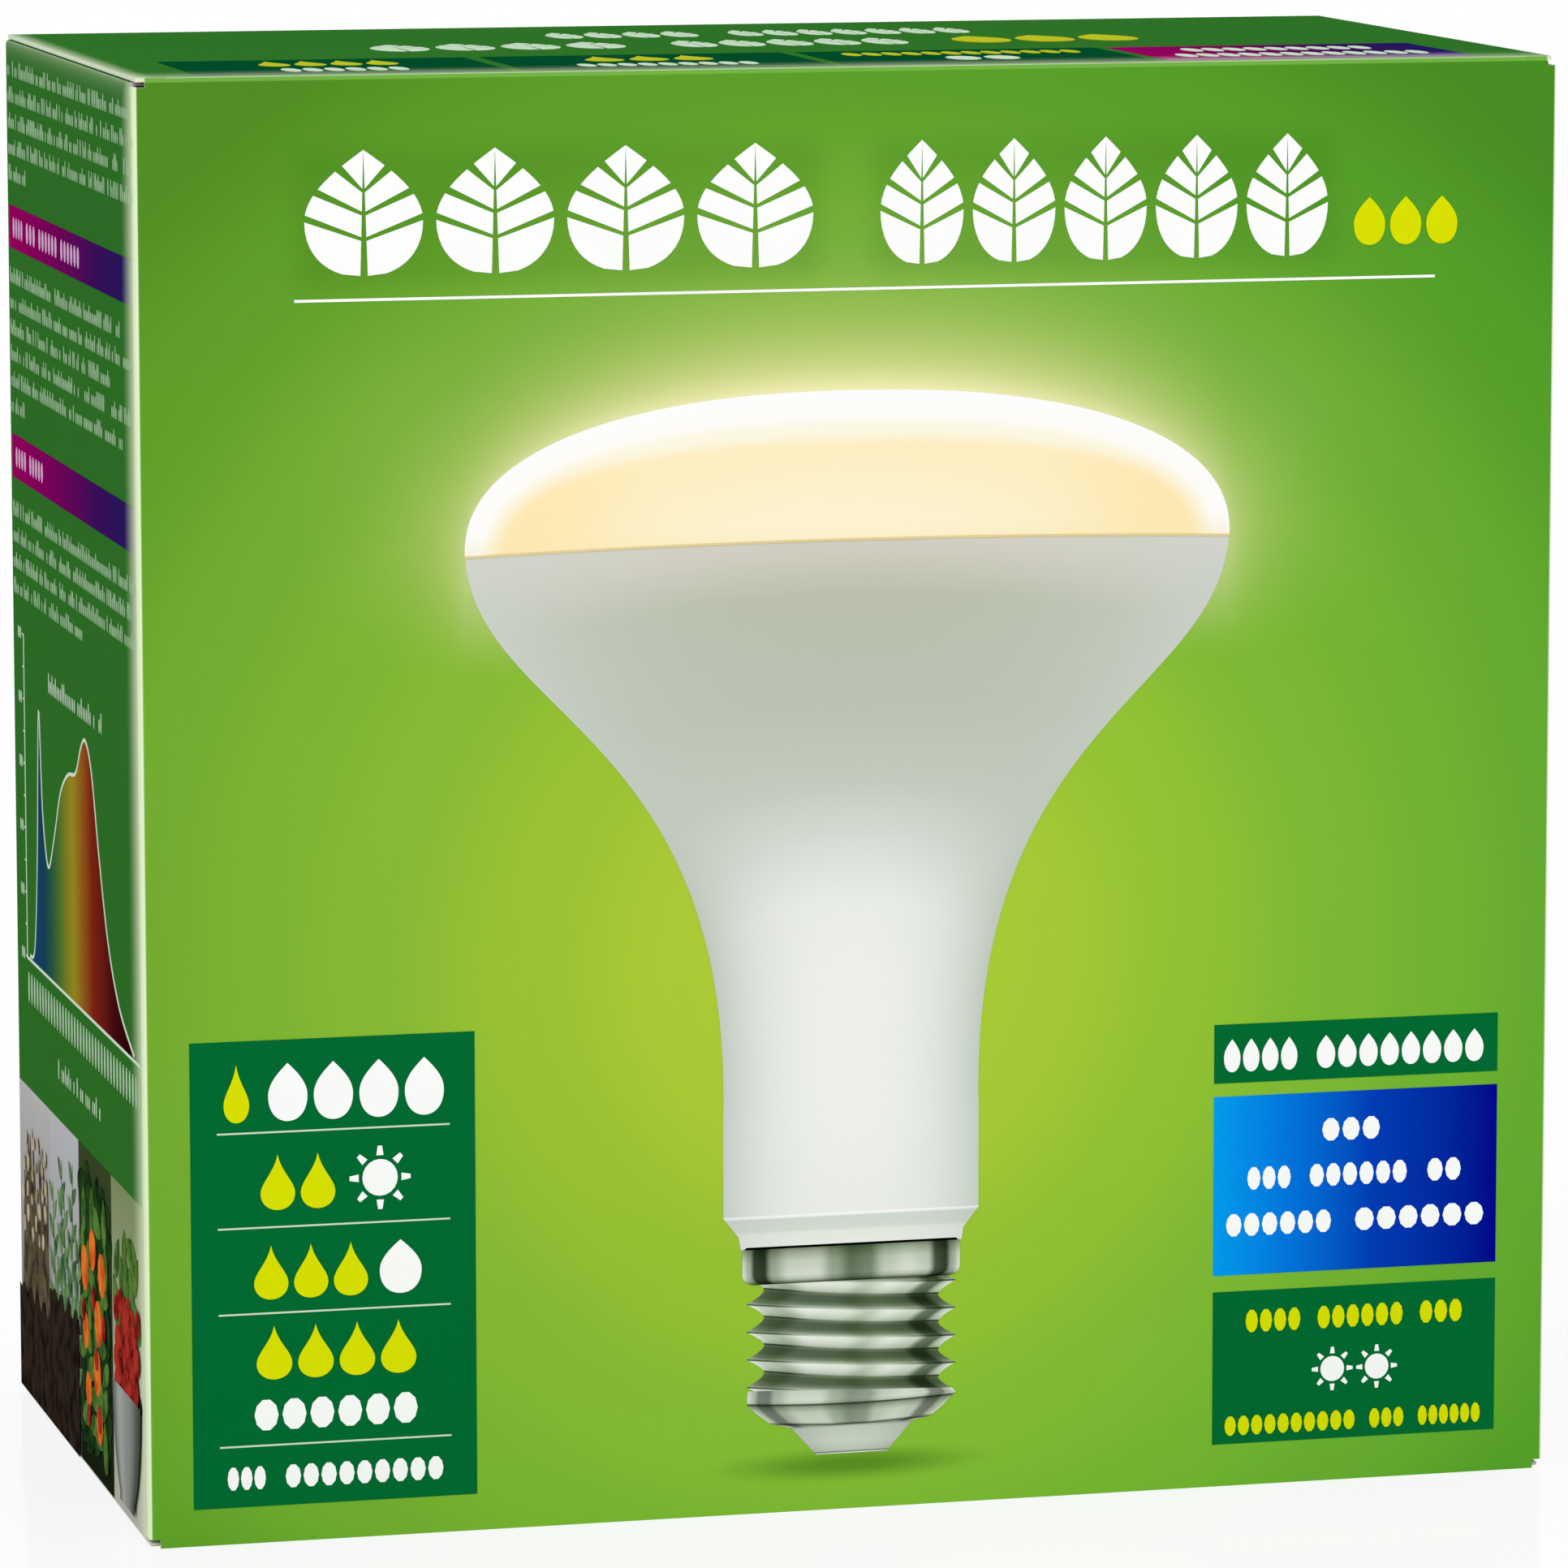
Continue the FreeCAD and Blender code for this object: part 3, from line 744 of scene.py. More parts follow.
# %% Geometry Nodes helpers
def new_growth(name, sizes):
    """An empty Geometry Nodes graph with named inputs, and the channels of those inputs."""
    tree = bpy.data.node_groups.new(name, "GeometryNodeTree")
    tree.interface.new_socket("Geometry", in_out="INPUT", socket_type="NodeSocketGeometry")
    for key, kind in sizes.items():
        tree.interface.new_socket(key, in_out="INPUT", socket_type=f"NodeSocket{kind}")
    tree.interface.new_socket("Geometry", in_out="OUTPUT", socket_type="NodeSocketGeometry")
    graph = Graph(tree)
    first = graph.node("NodeGroupInput").socket.node
    return graph, {socket.name: Channel(graph, socket) for socket in first.outputs if socket.name}


def chance(graph, size, low, high, offset):
    """A random number for each point. Draws with another offset are independent."""
    return graph.node("FunctionNodeRandomValue", {"data_type": "FLOAT"}, {
        2: low, 3: high, "Seed": size["Seed"] + offset}, output=1)


def end_growth(graph, geometry, material):
    """Ends a graph in real geometry with its material on."""
    real = graph.node("GeometryNodeRealizeInstances", sockets={0: geometry})
    dressed = graph.node("GeometryNodeSetMaterial", sockets={"Geometry": real, "Material": material})
    graph.node("NodeGroupOutput", sockets={0: dressed})
    return graph.tree


def grow(tree, start, sizes):
    """Runs a tree on a starting mesh and returns the result as a plain mesh."""
    holder = bpy.data.objects.new("growing", start)
    bpy.context.scene.collection.objects.link(holder)
    modifier = holder.modifiers.new("grow", "NODES")
    names = {item.name: item.identifier for item in tree.interface.items_tree if item.in_out == "INPUT"}
    modifier.node_group = tree
    for key, value in sizes.items():
        modifier[names[key]] = value
    bpy.context.view_layer.update()
    grown = holder.evaluated_get(bpy.context.evaluated_depsgraph_get())
    mesh = bpy.data.meshes.new_from_object(grown)
    holder.modifiers.clear()
    bpy.data.objects.remove(holder)
    return mesh


# %% The tree that sets stamps on a line
LEAF_LAYER = 0.0015


def line_tree():
    graph, size = new_growth("stamps_on_a_line", {
        "Stamp": "Object", "Count": "Int", "Across": "Float", "Up": "Float", "Out": "Float",
        "Lean": "Float", "Taper": "Float", "Wide": "Float", "Tall": "Float", "Ink": "Material"})
    step = graph.vector(size["Across"], size["Up"], size["Out"])
    line = graph.node("GeometryNodeMeshLine", sockets={"Count": size["Count"], "Offset": step})
    spots = graph.node("GeometryNodeMeshToPoints", sockets={0: line})
    index = graph.node("GeometryNodeInputIndex")
    to_side = index % 2.0 * 2.0 - 1.0
    remains = 1 - index / size["Count"] * size["Taper"]
    stamp = graph.node("GeometryNodeObjectInfo", sockets={"Object": size["Stamp"]}, output=4)
    row = graph.node("GeometryNodeInstanceOnPoints", sockets={
        "Points": spots, "Instance": stamp, "Rotation": graph.vector(z=to_side * size["Lean"]),
        "Scale": graph.vector(remains * size["Wide"], remains * size["Tall"], 1.0)})
    return end_growth(graph, row, size["Ink"])


LINE = line_tree()


def stamp_object(outlines, level=1):
    """A stamp about the origin, one millimetre wide and tall, for a tree to copy."""
    return bpy.data.objects.new("stamp", sheet_mesh(*joined(outlines), level))


def merged(meshes):
    """Several meshes as one."""
    vertices, faces = [], []
    for mesh in meshes:
        faces += [tuple(index + len(vertices) for index in face.vertices) for face in mesh.polygons]
        vertices += [vertex.co[:] for vertex in mesh.vertices]
    both = bpy.data.meshes.new("merged")
    both.from_pydata(vertices, [], faces)
    return both


def stamped_rows(name, stamp, rows, where, material, fill=0.86):
    """rows hold (left, top, right, bottom, count): the stamps share the row's width evenly."""
    grown = []
    for left, top, right, bottom, count in rows:
        pitch = (right - left) / count
        mesh = grow(LINE, bpy.data.meshes.new("none"), {
            "Stamp": stamp, "Count": count, "Across": pitch, "Up": 0.0, "Out": 0.0, "Lean": 0.0,
            "Taper": 0.0, "Wide": pitch * fill, "Tall": bottom - top, "Ink": material})
        mesh.transform(Matrix.Translation((left + pitch / 2, -(top + bottom) / 2, 0)))
        grown.append(mesh)
    piece = keep(name, merged(grown), where, material)
    print(f"{name}: {sum(row[4] for row in rows)} stamps, {len(piece.data.polygons)} faces")
    return piece


def sprigs(name, leaflet, stems, size, where, material):
    """Leaves on climbing stems. stems hold (x, foot y, height, leaves, turn), and size is the width
    and height of the lowest leaf."""
    grown = []
    for number, (x, foot, height, leaves, turn) in enumerate(stems):
        mesh = grow(LINE, bpy.data.meshes.new("none"), {
            "Stamp": leaflet, "Count": leaves, "Across": 0.0, "Up": height / leaves, "Out": LEAF_LAYER,
            "Lean": 0.8, "Taper": 0.5, "Wide": size[0], "Tall": size[1], "Ink": material})
        mesh.transform(Matrix.Translation((x, -foot, number * LEAF_LAYER * 12))
                       @ Matrix.Rotation(turn, 4, "Z"))
        grown.append(mesh)
    piece = keep(name, merged(grown), where, material)
    print(f"{name}: {len(stems)} stems, {len(piece.data.polygons)} faces")
    return piece


# %% [markdown]
# ## Stamps
#
# Each stamp is drawn once, one millimetre wide and tall. The big leaf is cut along its midrib and its
# side veins, so that the green of the board draws them. Drop, small leaf and seed are solid.

# %% Leaf, drop, seed and sun
def leaf_side(side):
    """One outer edge of an upright leaf, from its foot to its tip."""
    lower = bezier((0.0, 0.5), (side * 0.26, 0.5), (side * 0.5, 0.36), (side * 0.5, 0.06), 12)
    upper = bezier((side * 0.5, 0.06), (side * 0.5, -0.16), (side * 0.24, -0.34), (0.0, -0.5), 12)
    return lower + upper + [(0.0, -0.5)]


def veined_leaf(veins=(0.20, 0.0, -0.18), climb=0.17, gap=0.030, rib=0.032):
    """A leaf as lobes: its veins leave the midrib and climb to the edge."""
    lobes = []
    for side in (-1, 1):
        edge = leaf_side(side)
        heads = [vein - climb for vein in veins]
        for low, high in zip([0.5] + heads, heads + [-0.5]):
            part = [(x, y) for x, y in edge if high + gap / 2 < y < low - gap / 2]
            foot = 0.49 if low == 0.5 else low + climb - gap / 2
            top = -0.5 if high == -0.5 else high + climb + gap / 2
            lobes.append([(side * rib * (0.5 + foot), foot)] + part + [(side * rib * (0.5 + top), top)])
    return lobes


def drop_outline():
    edges = []
    for side in (1, -1):
        half = bezier((0, -0.5), (side * 0.10, -0.18), (side * 0.5, 0.0), (side * 0.5, 0.2), 8)
        half += bezier((side * 0.5, 0.2), (side * 0.5, 0.38), (side * 0.28, 0.5), (0, 0.5), 7)
        edges.append(half)
    return edges[0] + [(0, 0.5)] + edges[1][:0:-1]


def solid_leaf():
    right, left = leaf_side(1), leaf_side(-1)
    return right + left[-2::-1]


def oval(x, y, half, tall, corners=32):
    """An ellipse from its middle and its two half sizes."""
    angles = [math.tau * step / corners for step in range(corners)]
    return [(x + half * math.cos(angle), y + tall * math.sin(angle)) for angle in angles]


def sun_outlines():
    """A disc with eight short rays."""
    shapes = [oval(0, 0, 0.29, 0.29, 20)]
    for step in range(8):
        angle = math.tau * step / 8
        along = Vector((math.cos(angle), math.sin(angle)))
        beside = Vector((-along.y, along.x))
        shapes.append([tuple(along * far + beside * off) for far, off in
                       ((0.35, -0.06), (0.5, -0.035), (0.5, 0.035), (0.35, 0.06))])
    return shapes


BIG_LEAF = stamp_object(veined_leaf())
PANEL_LEAF = stamp_object(veined_leaf(), 2)
DROP = stamp_object([drop_outline()], 2)
LEAF = stamp_object([solid_leaf()], 2)
LEAFLET = stamp_object([[(x, y - 0.5) for x, y in solid_leaf()]], 3)
SEED = stamp_object([oval(0, 0, 0.5, 0.5, 10)], 2)
SUN = stamp_object(sun_outlines(), 2)
print(f"seven stamps, the big leaf in {len(veined_leaf())} lobes")

# %% [markdown]
# ## The frieze on the front
#
# A frieze of nine big white leaves, four and five, runs across the top of the front over a fine white
# rule. Three small yellow leaves end it.

# %% Frieze on the front
RULE_DOWN = 27.15


def frieze(side, where, rule_half):
    """Nine big leaves, three small ones and the rule under them, on the front or the back."""
    stamped_rows(f"{side}_leaves", BIG_LEAF, [
        (19.8, 9.0, 84.8, 24.4, 4), (91.9, 9.0, 150.6, 24.4, 5)], where, WHITE_INK, fill=0.90)
    stamped_rows(f"{side}_small_leaves", LEAF, [(153.1, 17.1, 167.3, 23.1, 3)], where, YELLOW_INK)
    rule = box_outline(19.3, RULE_DOWN - rule_half, 164.1, RULE_DOWN + rule_half)
    print_shapes(f"{side}_rule", [rule], 1, where, WHITE_INK)


frieze("front", FRONT_WALL, 0.17)

# %% [markdown]
# ## The pictured lamp
#
# The front carries a large picture of the lamp that is inside, lit. It is drawn as the printer would:
# a flat shape for each of its parts, filled with gradients. A ladder of narrow faces between two edges
# carries a coordinate that runs from -1 at the left edge to 1 at the right one, and the shading across
# the round body follows it.

# %% Ladders
def ladder(name, left, right, level, where, material, columns=1):
    """A sheet between two edges, each a list of points running down."""
    points, across = [], []
    for start, end in zip(left, right):
        for column in range(columns + 1):
            share = column / columns
            points.append(tuple(a + (b - a) * share for a, b in zip(start, end)))
            across.append((share * 2 - 1, 0))
    wide = columns + 1
    faces = [[row * wide + column, (row + 1) * wide + column,
              (row + 1) * wide + column + 1, row * wide + column + 1]
             for row in range(len(left) - 1) for column in range(columns)]
    piece = keep(name, sheet_mesh(points, faces, level, across), where, material)
    print(f"{name}: {len(faces)} faces in front")
    return piece


def mirrored(profile, name, level, material, columns=8):
    """A ladder about the pictured lamp's axis from a profile of (half width, y)."""
    left = [(PICTURE_X - half, y) for half, y in profile]
    right = [(PICTURE_X + half, y) for half, y in profile]
    return ladder(name, left, right, level, FRONT_WALL, material, columns)


def across_channel(finish):
    """The ladder's own coordinate, -1 to 1."""
    return finish.split(finish.node("ShaderNodeUVMap", {"uv_map": "across"}))[0]


# %% Dome of the pictured lamp
SEAM_BOW = 0.85


def dome_finish():
    """White along the rim and warm inside it, warmest at the two ends and paler in the middle."""
    finish = Finish("picture_dome")
    across, above = from_rim(finish)
    depth = -from_dome(across, above) / (above.most(0) * 0.37 + 11.0)
    glow = finish.ramp(depth, stops(
        (0.0, 254, 253, 252), (0.16, 254, 252, 246), (0.30, 254, 247, 224), (0.46, 254, 239, 192),
        (1.0, 254, 239, 192)), "EASE")
    ends = (abs(across) / DOME_HALF).rise(0.45, 0.85) * depth.rise(0.2, 0.5)
    glow = finish.mix(ends * 0.7, glow, ink(254, 230, 172))
    pool = ((across / 38.0) ** 2.0 + (above / 12.0) ** 2.0) ** 0.5
    glow = finish.mix(pool.rise(1.1, 0.2) * 0.85, glow, ink(254, 244, 211))
    low = above.rise(3.0, 0.0)
    glow = finish.mix(low * 0.35, glow, ink(250, 232, 180))
    return finish.surface(glow, SATIN, **VARNISH)


def seam_y(share):
    return RIM_DOWN + 0.05 - SEAM_BOW * (1 - share * share)


dome_steps = [-math.cos(math.pi * step / 72) for step in range(73)]
dome_foot = [(PICTURE_X + DOME_HALF * share, seam_y(share)) for share in dome_steps]
dome_top = [(PICTURE_X + DOME_HALF * share,
             RIM_DOWN - DOME_RISE * (1 - abs(share) ** ROUNDNESS) ** (1 / ROUNDNESS))
            for share in dome_steps]
ladder("picture_dome", dome_foot, dome_top, 2, FRONT_WALL, dome_finish(), 4)
seam_low = [(x, y + 0.30) for x, y in dome_foot]
ladder("picture_seam", seam_low, dome_foot, 3, FRONT_WALL,
       ink_finish("ink_seam", ink(226, 207, 150)))

# %% Housing of the pictured lamp
NECK_HALF = 16.4
HOUSING_TOP = 57.0
HOUSING_TALL = 90.0


def housing_finish():
    finish = Finish("picture_housing")
    across = across_channel(finish)
    down = HEIGHT - finish.z
    bent = down - across ** 2.0 * 5.0

    def ramp_down(place, *rows):
        """A ramp whose rows begin with millimetres down the wall."""
        shares = [((y - HOUSING_TOP) / HOUSING_TALL, *colour) for y, *colour in rows]
        return finish.ramp((place - HOUSING_TOP) / HOUSING_TALL, stops(*shares))

    middle = ramp_down(
        bent, (57, 212, 210, 196), (60, 206, 204, 189), (65, 187, 192, 172), (78, 189, 195, 179),
        (88, 196, 204, 190), (96, 219, 223, 215), (103, 237, 239, 233), (112, 241, 242, 237),
        (130, 242, 243, 239), (146, 239, 240, 235))
    edge = ramp_down(
        down, (57, 213, 214, 205), (64, 205, 210, 200), (80, 197, 204, 192), (105, 194, 201, 189),
        (130, 198, 208, 198), (146, 202, 210, 200))
    rounding = abs(across).least(1) ** 2.6
    colour = finish.mix(rounding, middle, edge)
    return finish.surface(colour, SATIN, **VARNISH)


housing = bezier((DOME_HALF, 57.4), (DOME_HALF, 79.0), (15.0, 80.0), (NECK_HALF, 130.0), 60)
housing += [(NECK_HALF, 130.0 + step * 1.55) for step in range(9)]
mirrored(housing, "picture_housing", 1, housing_finish(), 12)


def step_finish():
    finish = Finish("picture_step")
    down = HEIGHT - finish.z
    across = across_channel(finish)
    tone = finish.ramp((down - 142.2) / 4.4, stops(
        (0.0, 253, 253, 251), (0.06, 250, 251, 248), (0.13, 211, 219, 209), (0.46, 216, 223, 214),
        (0.54, 232, 236, 228), (0.90, 236, 239, 232), (1.0, 206, 213, 200)))
    return finish.surface(finish.tint(tone, 1.0 - abs(across) ** 3.0 * 0.13), SATIN, **VARNISH)


mirrored([(16.5, 142.3), (16.3, 142.55), (14.45, 144.9), (14.35, 145.6), (14.2, 146.5)],
         "picture_step", 2, step_finish())

# %% Metal shell of the pictured lamp
SHELL_HALF = 14.0
THREAD_START = 150.6
THREAD_END = 166.4
FIRST_CREST = 154.25
PITCH = 3.5
SLANT = -0.85
THREAD_BOW = 0.40
ACROSS_METAL = stops(
    (0.000, 224, 230, 220), (0.030, 172, 184, 164), (0.055, 58, 70, 50), (0.100, 48, 60, 42),
    (0.135, 158, 170, 150), (0.220, 214, 220, 208), (0.340, 216, 222, 211), (0.420, 156, 170, 148),
    (0.500, 104, 122, 98), (0.580, 122, 138, 114), (0.660, 200, 208, 194), (0.760, 220, 226, 215),
    (0.850, 202, 210, 196), (0.890, 72, 84, 64), (0.935, 52, 64, 46), (0.965, 166, 178, 158),
    (1.000, 222, 228, 217))
ACROSS_THREAD = stops(
    (0.000, 250, 252, 248), (0.050, 214, 222, 208), (0.120, 196, 206, 190), (0.240, 255, 255, 255),
    (0.420, 250, 252, 248), (0.540, 214, 222, 208), (0.660, 252, 254, 250), (0.800, 226, 232, 221),
    (0.870, 112, 128, 104), (0.920, 104, 120, 96), (0.970, 220, 227, 215), (1.000, 252, 254, 250))


def metal_finish(name, shade):
    """shade gives the colour from the finish and its down and across channels."""
    finish = Finish(name)
    return finish.surface(shade(finish, HEIGHT - finish.z, across_channel(finish)), 0.30, **VARNISH)


def over_width(finish, across, tones):
    """A ramp from the left edge to the right one."""
    return finish.ramp(across * 0.5 + 0.5, tones, "EASE")


def collar_shade(finish, down, across):
    tone = finish.ramp((down - 146.3) / 4.6, stops(
        (0.0, 112, 124, 104), (0.12, 176, 186, 168), (0.40, 236, 240, 232), (0.78, 255, 255, 255),
        (0.90, 216, 223, 211), (1.0, 70, 82, 62)))
    return finish.mix(1.0, over_width(finish, across, ACROSS_METAL), tone, "MULTIPLY")


def thread_shade(finish, down, across):
    """Light lower flanks and dark upper ones, parted by fine lines that fade towards the middle."""
    turn = ((down - FIRST_CREST + across * SLANT + (across ** 2.0 - 1) * THREAD_BOW) / PITCH) % 1.0
    flanks = finish.ramp(turn, stops(
        (0.00, 222, 228, 217), (0.06, 238, 242, 234), (0.22, 224, 230, 219), (0.38, 196, 205, 189),
        (0.46, 124, 138, 114), (0.54, 84, 99, 76), (0.74, 88, 103, 80), (0.88, 122, 137, 113),
        (0.97, 176, 188, 168), (1.00, 222, 228, 217)))
    at_crest = turn.least(1 - turn).rise(0.045, 0.015)
    at_root = abs(turn - 0.45).rise(0.045, 0.015)
    lines = at_crest.most(at_root) * (0.22 + abs(across).rise(0.35, 0.85) * 0.68)
    rounded = over_width(finish, across, ACROSS_THREAD)
    return finish.mix(lines, finish.mix(1.0, flanks, rounded, "MULTIPLY"), ink(34, 44, 28))


def cup_shade(finish, down, across):
    tone = finish.ramp((down + across ** 2.0 * 0.45 - 164.4) / 5.2, stops(
        (0.00, 226, 232, 221), (0.30, 250, 252, 248), (0.38, 226, 232, 221), (0.415, 42, 53, 36),
        (0.47, 168, 180, 160), (0.62, 226, 232, 221), (0.86, 236, 240, 232), (0.93, 66, 78, 58),
        (0.97, 214, 221, 208), (1.00, 214, 221, 208)))
    sheen = over_width(finish, across, ACROSS_METAL)
    return finish.mix(0.82, tone, finish.mix(1.0, sheen, tone, "MULTIPLY"))


collar = [(13.5, 146.2), (13.9, 146.6)] + [(SHELL_HALF, 147.0 + 0.7 * step) for step in range(5)]
collar += [(13.85, 150.3), (13.4, 150.75), (12.6, 150.95)]
mirrored(collar, "picture_collar", 2, metal_finish("picture_metal_collar", collar_shade))


def thread_edge(side):
    """One edge of the thread: sharp crests and round roots, half a turn apart on the two sides."""
    edge = []
    for step in range(129):
        y = THREAD_START + (THREAD_END - THREAD_START) * step / 128
        turn = (y - FIRST_CREST + side * SLANT) / PITCH
        from_root = abs(turn % 1.0 - 0.5) * 2
        edge.append((PICTURE_X + side * (11.2 + 2.3 * from_root ** 1.6), y))
    return edge


ladder("picture_thread", thread_edge(-1), thread_edge(1), 1, FRONT_WALL,
       metal_finish("picture_metal_thread", thread_shade), 8)
cup_left = [(-13.3, 164.4), (-13.4, 165.0), (-13.4, 166.2), (-12.4, 167.2), (-10.5, 168.6),
            (-8.0, 169.3)]
cup_right = [(13.0, 165.3), (13.5, 165.8), (12.9, 166.4), (11.8, 167.5), (10.2, 168.7), (7.9, 169.2)]
ladder("picture_cup", *[[(PICTURE_X + x, y) for x, y in edge] for edge in (cup_left, cup_right)], 2,
       FRONT_WALL, metal_finish("picture_metal_cup", cup_shade), 8)


def tip_finish():
    finish = Finish("picture_tip")
    across = across_channel(finish)
    tone = finish.ramp((HEIGHT - finish.z - 169.0) / 3.95, stops(
        (0.0, 120, 132, 112), (0.14, 196, 206, 192), (0.60, 206, 215, 203), (0.90, 190, 201, 186),
        (0.94, 84, 96, 75), (0.97, 236, 240, 232), (1.0, 236, 240, 232)))
    return finish.surface(finish.tint(tone, 1.0 - abs(across) ** 2.0 * 0.18), SATIN, **VARNISH)


mirrored([(8.2, 168.7), (7.9, 169.2), (7.0, 170.2), (5.9, 171.4), (4.75, 172.7), (4.6, 172.9)],
         "picture_tip", 1, tip_finish())

# %% [markdown]
# ## The panels on the front
#
# Below the frieze the front has a tall dark green panel at its left, with four fine rules, and three
# smaller ones at its right. Rows of drops, leaves, suns and seeds fill them, in white and yellow.

# %% Panels on the front
PANELS_LEFT, PANELS_RIGHT = 135.9, 173.4
print_shapes("front_panels", [
    box_outline(5.5, 117.4, 41.0, 175.4),
    box_outline(PANELS_LEFT, 120.8, PANELS_RIGHT, 128.3),
    box_outline(PANELS_LEFT, 155.0, PANELS_RIGHT, 174.6),
], 1, FRONT_WALL, PANEL_INK)
BLUE_INK = ink_finish("ink_blue", blend_along(
    "x", PANELS_LEFT - WIDTH / 2, PANELS_RIGHT - WIDTH / 2, SKY_TO_NAVY))
print_shapes("front_blue_panel", [box_outline(PANELS_LEFT, 130.0, PANELS_RIGHT, 152.9)], 1,
             FRONT_WALL, BLUE_INK)
RULES = (128.8, 140.6, 151.3, 167.8)
print_shapes("panel_rules", [box_outline(8.8, y - 0.11, 37.8, y + 0.11) for y in RULES], 2,
             FRONT_WALL, SOFT_INK)
stamped_rows("panel_drops", DROP, [
    (9.4, 120.3, 13.1, 127.5, 1), (13.8, 131.6, 23.8, 138.5, 2), (12.9, 142.9, 27.8, 149.6, 3),
    (13.1, 152.9, 33.8, 159.6, 4)], FRONT_WALL, YELLOW_INK)
stamped_rows("panel_leaves", LEAF, [
    (14.8, 120.3, 37.5, 127.5, 4), (28.5, 142.9, 34.6, 149.6, 1),
    (137.0, 122.7, 147.0, 126.9, 4), (149.2, 122.7, 171.7, 126.9, 8)], FRONT_WALL, WHITE_INK)
stamped_rows("panel_suns", SUN, [(24.9, 131.1, 33.2, 139.0, 1), (148.8, 162.8, 160.6, 168.4, 2)],
             FRONT_WALL, WHITE_INK, fill=0.92)
stamped_rows("panel_white_seeds", SEED, [
    (12.9, 162.0, 33.8, 166.0, 6), (9.6, 170.3, 14.6, 173.3, 3), (16.8, 170.3, 36.9, 173.3, 9),
    (150.0, 133.3, 158.0, 136.3, 3),
    (140.2, 139.1, 146.2, 142.1, 3), (148.4, 139.1, 161.6, 142.1, 6), (164.0, 139.1, 168.8, 142.1, 2),
    (137.4, 145.0, 151.6, 148.0, 6), (154.4, 145.0, 171.9, 148.0, 6)],
    FRONT_WALL, WHITE_INK)
stamped_rows("panel_yellow_seeds", SEED, [
    (140.1, 157.4, 147.6, 160.4, 4), (149.6, 157.4, 161.2, 160.4, 6), (163.2, 157.4, 169.1, 160.4, 3),
    (137.4, 171.0, 154.9, 173.6, 10), (156.6, 171.0, 161.4, 173.6, 3), (163.1, 171.0, 171.6, 173.6, 6)],
    FRONT_WALL, YELLOW_INK)

# %% [markdown]
# ## Rows of small blocks
#
# The side wall has close rows of small pale blocks in three groups, some tall and some short, with
# gaps. Each row is an edge, and a tree walks along it, sets one rounded block at every step and drops
# a few at random.

# %% The tree for rows of blocks
MISSING = 0.17
SHORT_SHARE = 0.62
SHORT = 0.64
SLIMMEST, WIDEST = 0.20, 0.40


def block_tree():
    graph, size = new_growth("rows_of_blocks", {
        "Pitch": "Float", "Tall": "Float", "Seed": "Int", "Ink": "Material"})
    source = Channel(graph, size["Geometry"].socket)
    lines = graph.node("GeometryNodeMeshToCurve", sockets={0: source})
    steps = graph.node("GeometryNodeCurveToPoints", {"mode": "LENGTH"},
                       {0: lines, "Length": size["Pitch"]})
    kept = graph.node("GeometryNodeDeleteGeometry", {"domain": "POINT"},
                      {0: steps, "Selection": chance(graph, size, 0.0, 1.0, 0) < MISSING})
    tall = (chance(graph, size, 0.0, 1.0, 1) > SHORT_SHARE) * (1 - SHORT) + SHORT
    wide = chance(graph, size, SLIMMEST, WIDEST, 2)
    block = graph.node("GeometryNodeMeshCylinder", sockets={
        "Vertices": 8, "Radius": 0.54, "Depth": 0.08})
    seated = graph.node("GeometryNodeTransform", sockets={
        "Geometry": block, "Translation": (0, 0.5, 0.01), "Rotation": (0, 0, math.pi / 8)})
    set_out = graph.node("GeometryNodeInstanceOnPoints", sockets={
        "Points": kept, "Instance": seated,
        "Scale": graph.vector(wide * size["Pitch"], tall * size["Tall"], 1.0)})
    return end_growth(graph, set_out, size["Ink"])


BLOCKS = block_tree()


def block_rows(name, lines, where, material, pitch, tall, seed):
    """lines hold (left, right, foot y). tall is a tall block's height."""
    start = bpy.data.meshes.new("lines")
    start.from_pydata([(x, -y, 0) for left, right, y in lines for x in (left, right)],
                      [(2 * index, 2 * index + 1) for index in range(len(lines))], [])
    mesh = grow(BLOCKS, start, {"Pitch": pitch, "Tall": tall, "Seed": seed, "Ink": material})
    piece = keep(name, mesh, where, material)
    print(f"{name}: {len(lines)} lines, {len(piece.data.polygons)} faces")
    return piece


# %% Rows and strips on the left side
def group(left, top, rights, spacing=3.4):
    """Rows that start at left, the first at top, each ending at its own right."""
    return [(left, right, top + spacing * row) for row, right in enumerate(rights)]


def side_groups(*rights):
    """The three groups of rows on a side wall."""
    return [row for top, ends in zip((5.2, 32.2, 62.8), rights) for row in group(2.2, top, ends)]


